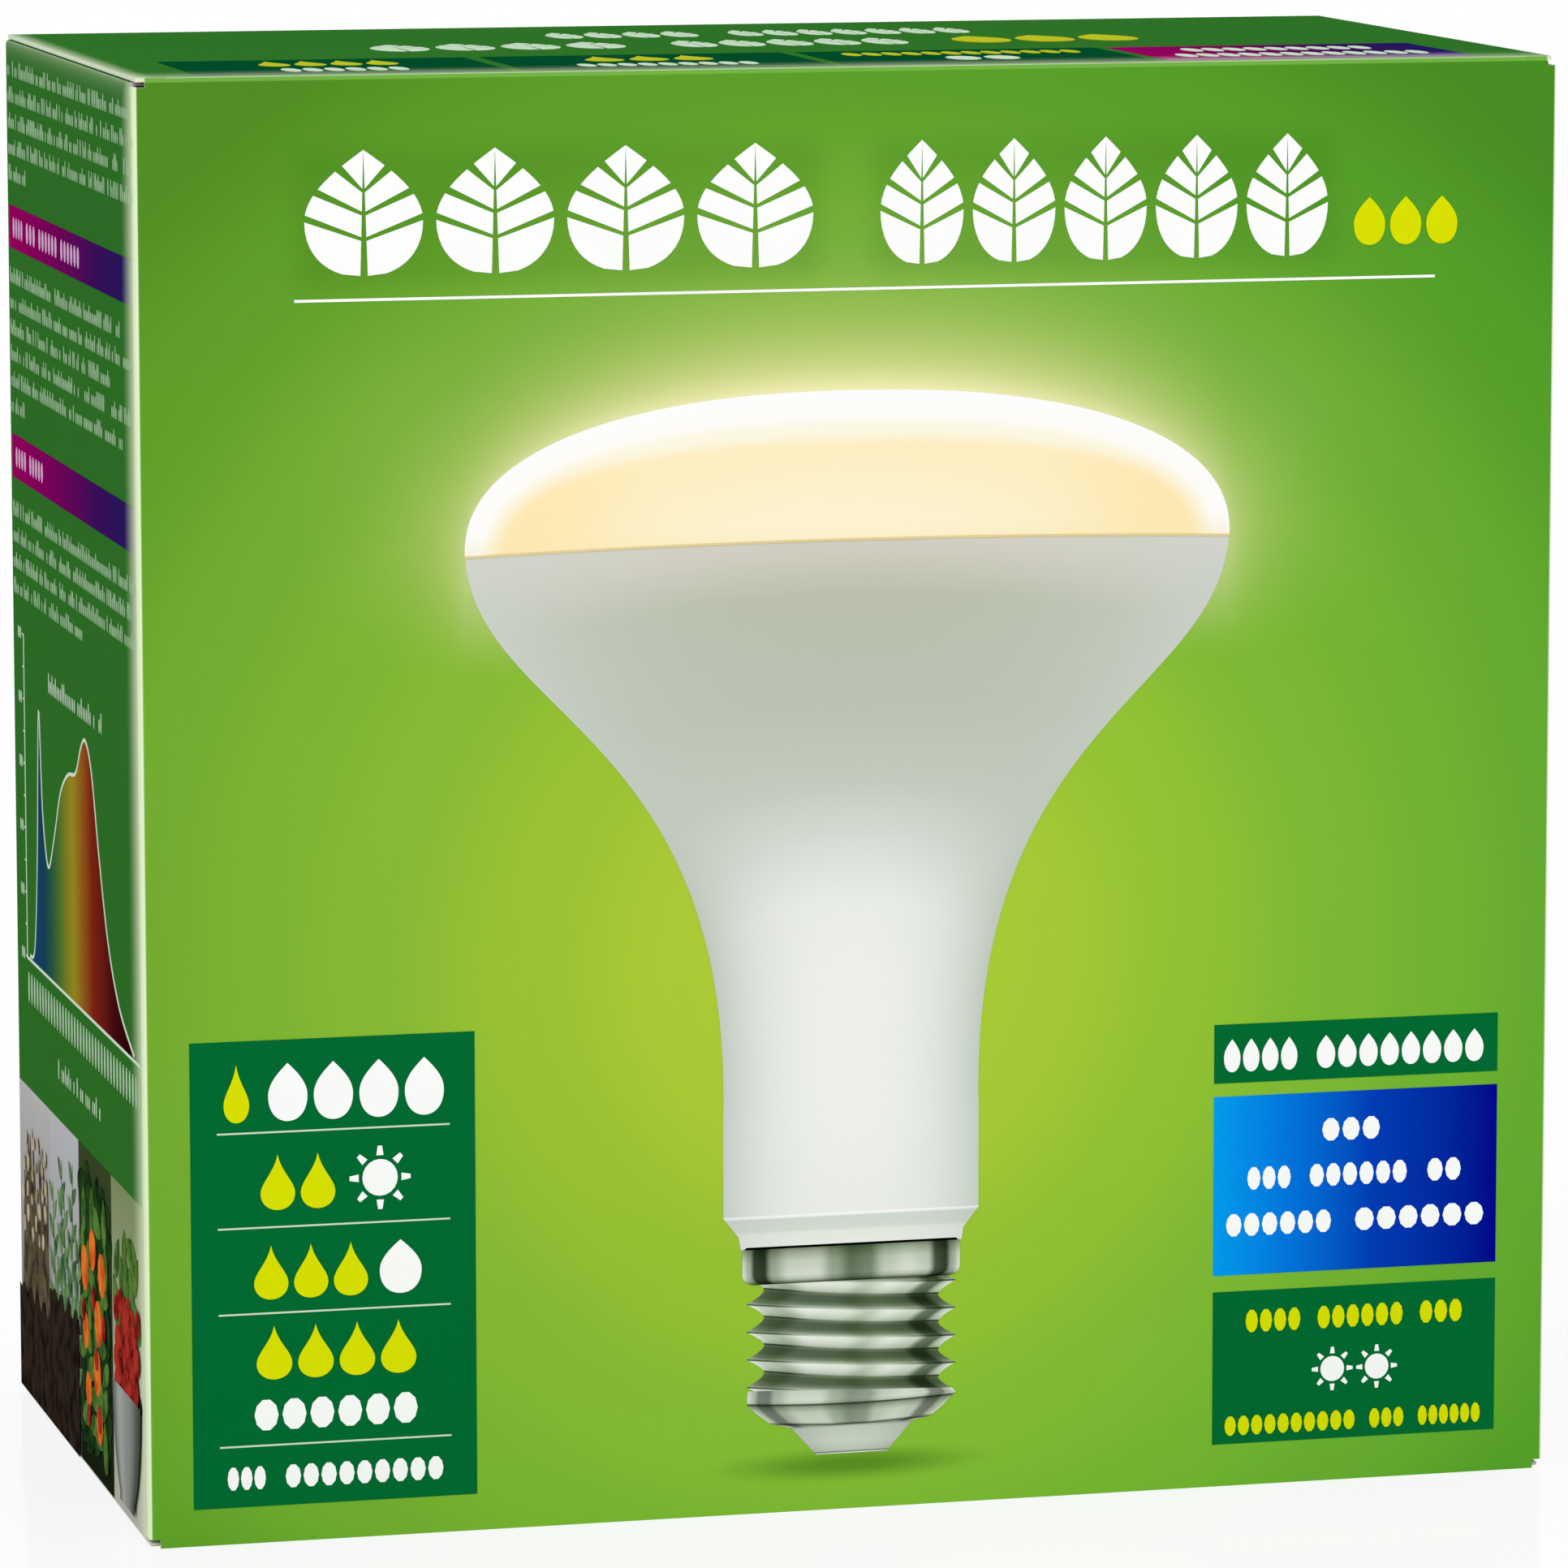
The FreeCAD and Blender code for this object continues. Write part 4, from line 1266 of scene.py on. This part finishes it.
block_rows("side_blocks", side_groups(
    (95.0, 95.2, 94.6, 95.0, 16.0), (85.0, 93.8, 77.5, 93.1, 86.3, 12.0), (94.6, 94.6, 94.6, 55.0)),
    LEFT_WALL, DIM_INK, pitch=0.98, tall=2.1, seed=7)
SIDE_STRIPS = [box_outline(2.0, 22.0, 95.0, 27.6), box_outline(2.0, 52.0, 95.0, 57.7)]
STRIP_INK = ink_finish("ink_strip", under_light(
    blend_along("y", DEPTH / 2 - 2.0, 2.0 - DEPTH / 2, MAGENTA_TO_NAVY), side_light))
print_shapes("side_strips", SIDE_STRIPS, 1, LEFT_WALL, STRIP_INK)
ROSE_INK = ink_finish("ink_rose_white", ink(208, 166, 200))
stamped_rows("side_strip_seeds", SEED, [
    (4.5, 23.4, 13.0, 26.2, 4), (15.0, 23.4, 23.0, 26.2, 3), (25.0, 23.4, 40.0, 26.2, 6),
    (42.0, 23.4, 57.0, 26.2, 6), (4.5, 53.5, 13.5, 56.2, 4), (15.5, 53.5, 27.0, 56.2, 5)],
    LEFT_WALL, ROSE_INK, fill=0.6)

# %% [markdown]
# ## The chart on the left side
#
# Below the rows stands a chart of light by colour: a narrow blue peak, a valley and a broad red
# hill, filled with the colours of the rainbow and outlined in white. A smooth curve through a few named
# heights gives the outline.

# %% Chart
CHART_LEFT, CHART_RIGHT = 9.0, 94.4
CHART_TOP, CHART_FOOT = 77.8, 120.4
HEIGHTS = [
    (0.03, 0.01), (0.075, 0.05), (0.108, 0.34), (0.136, 0.80), (0.162, 0.50), (0.21, 0.34),
    (0.27, 0.45), (0.33, 0.60), (0.40, 0.675), (0.47, 0.70), (0.52, 0.79), (0.56, 0.82),
    (0.61, 0.74), (0.67, 0.50), (0.74, 0.27), (0.83, 0.11), (0.95, 0.01)]


def smooth(points, steps):
    """A curve through all points, with its slope at each taken from the two beside it."""
    padded = [points[0]] + points + [points[-1]]
    curve = []
    for before, start, end, after in zip(padded, padded[1:], padded[2:], padded[3:]):
        lift = tuple(s + (e - b) / 6 for b, s, e in zip(before, start, end))
        drop = tuple(e - (a - s) / 6 for s, e, a in zip(start, end, after))
        curve += bezier(start, lift, drop, end, steps)
    return curve + [points[-1]]


hill = [(CHART_LEFT + (CHART_RIGHT - CHART_LEFT) * t, CHART_FOOT - (CHART_FOOT - CHART_TOP) * h)
        for t, h in smooth(HEIGHTS, 6)]
RAINBOW = stops(
    (0.08, 24, 66, 108), (0.16, 20, 64, 88), (0.23, 36, 86, 66), (0.31, 74, 114, 42),
    (0.43, 152, 138, 32), (0.52, 144, 88, 26), (0.60, 126, 36, 20), (0.78, 68, 12, 16),
    (0.93, 26, 6, 8))
rainbow = ink_finish("ink_rainbow", under_light(
    blend_along("y", DEPTH / 2 - CHART_LEFT, DEPTH / 2 - CHART_RIGHT, RAINBOW), side_light))
ladder("chart_hill", [(x, CHART_FOOT) for x, y in hill], hill, 1, LEFT_WALL, rainbow)


def ribbon(curve, thick):
    """Two edges either side of a curve."""
    sides = ([], [])
    for index, point in enumerate(curve):
        before, after = curve[max(index - 1, 0)], curve[min(index + 1, len(curve) - 1)]
        along = (Vector(after) - Vector(before)).normalized()
        beside = Vector((along.y, -along.x)) * thick / 2
        sides[0].append(tuple(Vector(point) - beside))
        sides[1].append(tuple(Vector(point) + beside))
    return sides


ladder("chart_outline", *ribbon(hill, 0.45), 2, LEFT_WALL, SOFT_INK)
tick_heights = [CHART_TOP + step * 4.26 for step in range(11)]
ticks = [box_outline(8.2, y - 0.12, CHART_LEFT, y + 0.12) for y in tick_heights]
print_shapes("chart_axes", ticks + [
    box_outline(CHART_LEFT, CHART_TOP, CHART_LEFT + 0.35, CHART_FOOT + 0.2),
    box_outline(CHART_LEFT + 0.35, CHART_FOOT - 0.1, 94.6, CHART_FOOT + 0.3)],
    2, LEFT_WALL, SOFT_INK)
block_rows("chart_blocks", [(28.8, 68.5, 83.0), (33.0, 65.5, 132.6)], LEFT_WALL, SOFT_INK,
           pitch=1.3, tall=2.6, seed=3)
stamped_rows("chart_marks", SEED, [(9.0, 122.2, 94.5, 126.4, 38)], LEFT_WALL, DIM_INK, fill=0.42)
levels = [CHART_TOP + step * 8.5 for step in range(6)]
stamped_rows("chart_levels", SEED, [(4.6, level - 0.8, 7.4, level + 0.8, 3) for level in levels],
             LEFT_WALL, DIM_INK, fill=0.6)

# %% [markdown]
# ## The planted strip
#
# At the foot of the side wall stand four drawn pictures of plants: dry stalks, herbs in dug earth, a
# bush with round fruits, and a bowl of berries. A tree scatters stamps over a field: it drops points on
# a face and sets the stamp on them at a random turn and size, each a little higher than the last, so
# that no two lie in one plane. The herbs' leaves sit on their stems by the tree for lines.

# %% The tree that scatters stamps
def scatter_tree():
    graph, size = new_growth("scattered_stamps", {
        "Stamp": "Object", "Apart": "Float", "Smallest": "Float", "Largest": "Float",
        "Slim": "Float", "Turn": "Float", "Seed": "Int", "Ink": "Material"})
    spots = graph.node("GeometryNodeDistributePointsOnFaces", {"distribute_method": "POISSON"}, {
        0: size["Geometry"], "Distance Min": size["Apart"], "Density Max": 4.0, "Seed": size["Seed"]})
    stamp = graph.node("GeometryNodeObjectInfo", sockets={"Object": size["Stamp"]}, output=4)
    even = chance(graph, size, size["Smallest"], size["Largest"], 1)
    angle = chance(graph, size, -size["Turn"], size["Turn"], 2)
    layer = graph.node("GeometryNodeInputIndex") * LEAF_LAYER
    stacked = graph.node("GeometryNodeSetPosition", sockets={0: spots, "Offset": graph.vector(z=layer)})
    scattered = graph.node("GeometryNodeInstanceOnPoints", sockets={
        "Points": stacked, "Instance": stamp, "Rotation": graph.vector(z=angle),
        "Scale": graph.vector(even * size["Slim"], even, 1.0)})
    return end_growth(graph, scattered, size["Ink"])


SCATTER = scatter_tree()


def scattered(name, stamp, material, field, apart, sizes, slim, turn, seed, level=1):
    """Stamps over a field of the left wall (left, top, right, bottom). They are between two sizes and
    slim times as wide as tall, and turn up to that angle either way."""
    start = bpy.data.meshes.new("field")
    start.from_pydata([(x, -y, 0) for x, y in box_outline(*field)[::-1]], [], [(0, 1, 2, 3)])
    mesh = grow(SCATTER, start, {
        "Stamp": stamp, "Apart": apart, "Smallest": sizes[0], "Largest": sizes[1],
        "Slim": slim, "Turn": turn, "Seed": seed, "Ink": material})
    mesh.transform(Matrix.Translation((0, 0, level * LAYER)))
    piece = keep(name, mesh, LEFT_WALL, material)
    print(f"{name}: {len(piece.data.polygons)} faces")
    return piece


# %% Four fields
FOOT_TOP, FOOT_LOW = 138.0, 179.2


def field_ink(name, top, foot):
    shade = blend_along("z", HEIGHT - FOOT_TOP, 0, [(0.0, top), (1.0, foot)])
    return ink_finish(name, under_light(shade, side_light))


for name, left, right, top, foot in (
    ("stalks", 0.9, 25.4, ink(182, 181, 179), ink(92, 86, 78)),
    ("herbs", 25.4, 47.6, ink(182, 183, 186), ink(134, 132, 128)),
    ("bush", 47.6, 72.0, ink(56, 70, 38), ink(24, 30, 18)),
    ("bowl", 72.0, 94.6, ink(124, 140, 94), ink(186, 184, 174)),
):
    print_shapes(f"field_{name}", [box_outline(left, FOOT_TOP, right, FOOT_LOW)], 1,
                 LEFT_WALL, field_ink(f"ink_field_{name}", top, foot))


# %% Inks of the plants
def leaf_ink(name, light, dark):
    def colour(finish):
        return finish.mix(finish.noise(3.0).rise(0.35, 0.7), light, dark)
    return ink_finish(name, colour)


STALK_INK = leaf_ink("ink_stalk", ink(104, 92, 70), ink(52, 44, 34))
BUD_INK = leaf_ink("ink_bud", ink(192, 182, 152), ink(142, 122, 98))
HERB_INK = leaf_ink("ink_herb", ink(112, 150, 94), ink(46, 90, 52))
DARK_LEAF = leaf_ink("ink_leaf_dark", ink(38, 70, 30), ink(18, 40, 20))
GREEN_LEAF = leaf_ink("ink_leaf_green", ink(92, 130, 54), ink(46, 84, 36))
ORANGE_FRUIT = leaf_ink("ink_fruit_orange", ink(232, 122, 44), ink(196, 70, 26))
RED_FRUIT = leaf_ink("ink_fruit_red", ink(172, 52, 42), ink(116, 20, 20))
EARTH_INK = leaf_ink("ink_earth", ink(52, 41, 33), ink(27, 21, 17))
print("eight inks for the plants")

# %% Dry stalks and herbs in earth
scattered("stalk_blades", LEAF, STALK_INK, (4.5, 156.0, 22.5, 166.0), apart=2.3,
          sizes=(17.0, 27.0), slim=0.065, turn=0.26, seed=11)
scattered("stalk_buds", SEED, BUD_INK, (4.5, 144.0, 22.5, 157.0), apart=3.0,
          sizes=(1.6, 2.6), slim=0.75, turn=0.5, seed=15, level=4)
STEMS = [(29.6, 171.0, 24.0, 10, 0.10), (33.4, 172.0, 29.0, 12, -0.04), (37.3, 171.5, 25.0, 10, 0.05),
         (40.6, 172.0, 30.0, 12, -0.08), (44.2, 171.0, 22.0, 9, -0.16)]


def stem_outline(x, foot, height, _, turn):
    """A stem that narrows from its foot to its tip."""
    tip = (x - height * math.sin(turn), foot - height * math.cos(turn))
    return [(x - 0.35, foot), (x + 0.35, foot), (tip[0] + 0.1, tip[1]), (tip[0] - 0.1, tip[1])]


print_shapes("herb_stems", [stem_outline(*stem) for stem in STEMS], 2, LEFT_WALL, GREEN_LEAF)
sprigs("herb_leaves", LEAFLET, STEMS, (2.3, 6.4), LEFT_WALL, HERB_INK)


def earth_outline(left, right, top, foot, steps):
    """A band whose upper edge is as uneven as dug earth."""
    upper = [(left + (right - left) * step / steps,
              top + math.sin(step * 1.9) + 0.6 * math.sin(step * 4.7)) for step in range(steps + 1)]
    return upper + [(right, foot), (left, foot)]


print_shapes("earth", [earth_outline(0.9, 25.4, 165.5, FOOT_LOW, 16),
                       earth_outline(25.4, 47.6, 161.5, FOOT_LOW, 14)], 7, LEFT_WALL, EARTH_INK)

# %% Bush with fruits
scattered("bush_dark_leaves", LEAF, DARK_LEAF, (50.5, 142.5, 69.2, 175.0), apart=2.2,
          sizes=(4.5, 7.5), slim=0.55, turn=2.8, seed=12)
scattered("bush_light_leaves", LEAF, GREEN_LEAF, (51.5, 143.5, 68.2, 174.0), apart=3.6,
          sizes=(4.5, 7.0), slim=0.5, turn=2.8, seed=16, level=5)
scattered("bush_orange_fruits", SEED, ORANGE_FRUIT, (52.5, 149.0, 67.2, 172.0), apart=6.6,
          sizes=(4.4, 6.4), slim=0.86, turn=0.3, seed=13, level=7)
scattered("bush_red_fruits", SEED, RED_FRUIT, (51.5, 156.0, 68.5, 175.0), apart=7.5,
          sizes=(2.6, 3.8), slim=0.7, turn=0.5, seed=17, level=9)

# %% Bowl of berries
BOWL_X, BOWL_RIM = 83.3, 163.4


def bowl_finish():
    finish = Finish("ink_bowl")
    tone = over_width(finish, across_channel(finish), stops(
        (0.0, 96, 102, 97), (0.25, 162, 166, 160), (0.55, 140, 144, 138), (1.0, 72, 76, 70)))
    return finish.surface(tone, SATIN, **VARNISH)


bowl_edge = bezier((9.8, 0.0), (9.4, 7.0), (7.4, 11.0), (5.0, 13.2), 14) + [(5.0, 13.2), (5.0, 14.4)]
print_shapes("bowl_inside", [oval(BOWL_X, BOWL_RIM, 9.8, 2.4)], 2, LEFT_WALL, EARTH_INK)
print_shapes("bowl_heap", [oval(BOWL_X, 158.8, 7.6, 5.8)], 4, LEFT_WALL, RED_FRUIT)
scattered("bowl_leaves", LEAF, GREEN_LEAF, (75.0, 145.0, 91.8, 155.0), apart=3.4,
          sizes=(5.0, 8.0), slim=0.5, turn=1.3, seed=18, level=2)
scattered("bowl_berries", SEED, RED_FRUIT, (75.4, 152.5, 91.2, 163.6), apart=2.3,
          sizes=(3.0, 4.0), slim=0.95, turn=0.3, seed=19, level=5)
ladder("bowl_side", *[[(BOWL_X + side * half, BOWL_RIM + down) for half, down in bowl_edge]
                      for side in (-1, 1)], 9, LEFT_WALL, bowl_finish(), 6)

# %% [markdown]
# ## Print on the upper lid
#
# The lid repeats the leaves in two rows and carries four strips along its front fold, three dark and
# one that runs from magenta to navy. The green shows through its thinner white and yellow a little.
# These pieces ride with the lid when it opens.

# %% Rows and strips on the upper lid
THIN_WHITE_INK = ink_finish("ink_thin_white", ink(198, 221, 193))
THIN_YELLOW_INK = ink_finish("ink_thin_yellow", ink(184, 190, 34))
stamped_rows("lid_leaves", BIG_LEAF, [
    (67.0, 15.6, 87.5, 28.6, 4), (91.5, 15.6, 124.0, 28.6, 7),
    (39.0, 36.6, 73.0, 51.0, 4), (78.5, 36.6, 110.0, 51.0, 5)], TOP_FACE, THIN_WHITE_INK)
stamped_rows("lid_small_leaves", LEAF, [(115.5, 36.8, 141.0, 50.8, 3)], TOP_FACE, THIN_YELLOW_INK)
*DARK_STRIPS, BRIGHT_STRIP = [
    box_outline(left, 65.0, right, 93.0)
    for left, right in ((8.5, 47.2), (49.2, 87.8), (89.8, 129.0), (130.6, 170.6))]
print_shapes("lid_strips", DARK_STRIPS, 1, TOP_FACE, TEAL_INK)
LID_STRIP_INK = ink_finish("ink_lid_strip", under_light(
    blend_along("x", 130.6 - WIDTH / 2, 170.6 - WIDTH / 2, MAGENTA_TO_NAVY),
    lid_light, strength=1.6, pale=ink(232, 216, 236)))
print_shapes("lid_bright_strip", [BRIGHT_STRIP], 1, TOP_FACE, LID_STRIP_INK)
stamped_rows("lid_drops", DROP, [(19.0, 68.5, 37.0, 78.5, 4), (60.0, 68.5, 77.0, 78.5, 3)],
             TOP_FACE, THIN_YELLOW_INK)
stamped_rows("lid_white_seeds", SEED, [
    (20.0, 82.5, 36.0, 89.5, 6), (57.0, 82.5, 80.0, 88.5, 9), (138.0, 70.0, 163.0, 77.0, 9),
    (134.0, 81.0, 167.0, 88.0, 12), (104.5, 78.5, 114.5, 86.5, 2)], TOP_FACE, THIN_WHITE_INK)
stamped_rows("lid_yellow_seeds", SEED, [(94.0, 69.0, 125.0, 75.5, 12)], TOP_FACE, THIN_YELLOW_INK)

# %% [markdown]
# ## Print on the back and the right side
#
# A carton is printed all round in one pass. The back repeats the frieze over three deep green squares
# with a sun, a drop and a leaf, rows of small blocks and a bright strip. The right side has rows,
# strips and a small table of rules, in the left side's layout.

# %% Print on the back
SQUARES = [(left, 40.0, left + 45.0, 85.0) for left in (13.0, 67.5, 122.0)]
frieze("back", BACK_WALL, 0.20)
print_shapes("back_squares", [box_outline(*square) for square in SQUARES], 1, BACK_WALL, PANEL_INK)
for name, stamp, material, (left, top, right, bottom), beside in (
    ("back_sun", SUN, YELLOW_INK, SQUARES[0], 6.0),
    ("back_drop", DROP, WHITE_INK, SQUARES[1], 11.0),
    ("back_leaf", PANEL_LEAF, YELLOW_INK, SQUARES[2], 11.0),
):
    stamped_rows(name, stamp, [(left + beside, top + 6.0, right - beside, bottom - 6.0, 1)],
                 BACK_WALL, material, fill=1.0)
BACK_STRIP_INK = ink_finish("ink_back_strip", blend_along(
    "x", WIDTH / 2 - 13.0, 13.0 - WIDTH / 2, MAGENTA_TO_NAVY))
print_shapes("back_strip", [box_outline(13.0, 116.0, 167.0, 125.0)], 1, BACK_WALL, BACK_STRIP_INK)
stamped_rows("back_strip_seeds", SEED, [
    (20.0, 118.6, 48.0, 122.4, 9), (53.0, 118.6, 72.0, 122.4, 6), (77.0, 118.6, 108.0, 122.4, 10),
    (113.0, 118.6, 129.0, 122.4, 5)], BACK_WALL, WHITE_INK)
back_groups = [row for left, _, right, _ in SQUARES
               for row in group(left, 93.0, (right, right - 3.0, right - 1.0, right - 17.0), 4.4)]
back_groups += group(13.0, 134.0, (165.0, 167.0, 162.0, 166.0, 164.0, 167.0, 161.0, 96.0), 5.0)
block_rows("back_blocks", back_groups, BACK_WALL, WHITE_INK, pitch=1.25, tall=2.5, seed=21)

# %% Print on the right side
RIGHT_STRIP_INK = ink_finish("ink_right_strip", blend_along(
    "y", 2.0 - DEPTH / 2, DEPTH / 2 - 2.0, MAGENTA_TO_NAVY))
print_shapes("right_strips", SIDE_STRIPS, 1, RIGHT_WALL, RIGHT_STRIP_INK)
stamped_rows("right_strip_seeds", SEED, [
    (4.5, 23.3, 20.0, 26.3, 7), (22.0, 23.3, 34.0, 26.3, 5), (4.5, 53.4, 18.0, 56.3, 6),
    (20.0, 53.4, 31.5, 56.3, 5), (33.5, 53.4, 42.0, 56.3, 4)], RIGHT_WALL, WHITE_INK)
right_groups = side_groups(
    (93.0, 94.6, 91.0, 95.0, 40.0), (94.0, 90.5, 94.5, 92.0, 94.0, 30.0), (94.6, 93.0, 94.6, 71.0))
TABLE_ROWS = [84.0 + 11.0 * row for row in range(8)]
for row, y in enumerate(TABLE_ROWS[:-1]):
    right_groups += [(6.0, 36.0 - row % 3 * 5, y + 6.8), (52.0, 86.0 - row % 2 * 9, y + 6.8)]
block_rows("right_blocks", right_groups, RIGHT_WALL, DIM_INK, pitch=0.98, tall=2.1, seed=23)
print_shapes("right_table_rules", [box_outline(4.0, y - 0.15, 93.0, y + 0.15) for y in TABLE_ROWS], 1,
             RIGHT_WALL, SOFT_INK)
print_shapes("right_table_uprights", [
    box_outline(x - 0.15, TABLE_ROWS[0], x + 0.15, TABLE_ROWS[-1]) for x in (4.15, 47.5, 92.85)], 2,
    RIGHT_WALL, SOFT_INK)

# %% [markdown]
# ## The lamp's thread
#
# The solid lamp has a plain shell. Its rolled thread is a round bead along a spiral, 3.6 mm a turn,
# and a curve swept with a round profile is the plain way to make it.

# %% Thread on the lamp's shell
THREAD_UP = 8.6


def thread_tree():
    graph, size = new_growth("rolled_thread", {
        "Radius": "Float", "Turns": "Float", "Tall": "Float", "Bead": "Float", "Metal": "Material"})
    spiral = graph.node("GeometryNodeCurveSpiral", sockets={
        "Resolution": 48, "Rotations": size["Turns"], "Start Radius": size["Radius"],
        "End Radius": size["Radius"], "Height": size["Tall"]})
    bead = graph.node("GeometryNodeCurvePrimitiveCircle", sockets={
        "Resolution": 10, "Radius": size["Bead"]})
    swept = graph.node("GeometryNodeCurveToMesh", sockets={
        "Curve": spiral, "Profile Curve": bead, "Fill Caps": True})
    return end_growth(graph, swept, size["Metal"])


lamp_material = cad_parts["lamp"].material_slots[0].material
thread = grow(thread_tree(), bpy.data.meshes.new("none"), {
    "Radius": 12.6, "Turns": 4.0, "Tall": 14.4, "Bead": 1.1, "Metal": lamp_material})
lamp_middle = (lamp_low + lamp_high) / 2
on_lamp = Matrix.Scale(MM, 4) @ Matrix.Translation(
    (lamp_middle.x, lamp_middle.y, LAMP_TIP + THREAD_UP))
keep("lamp_thread", thread, (on_lamp, "carton"), lamp_material)
print(f"lamp_thread: {len(thread.polygons)} faces")
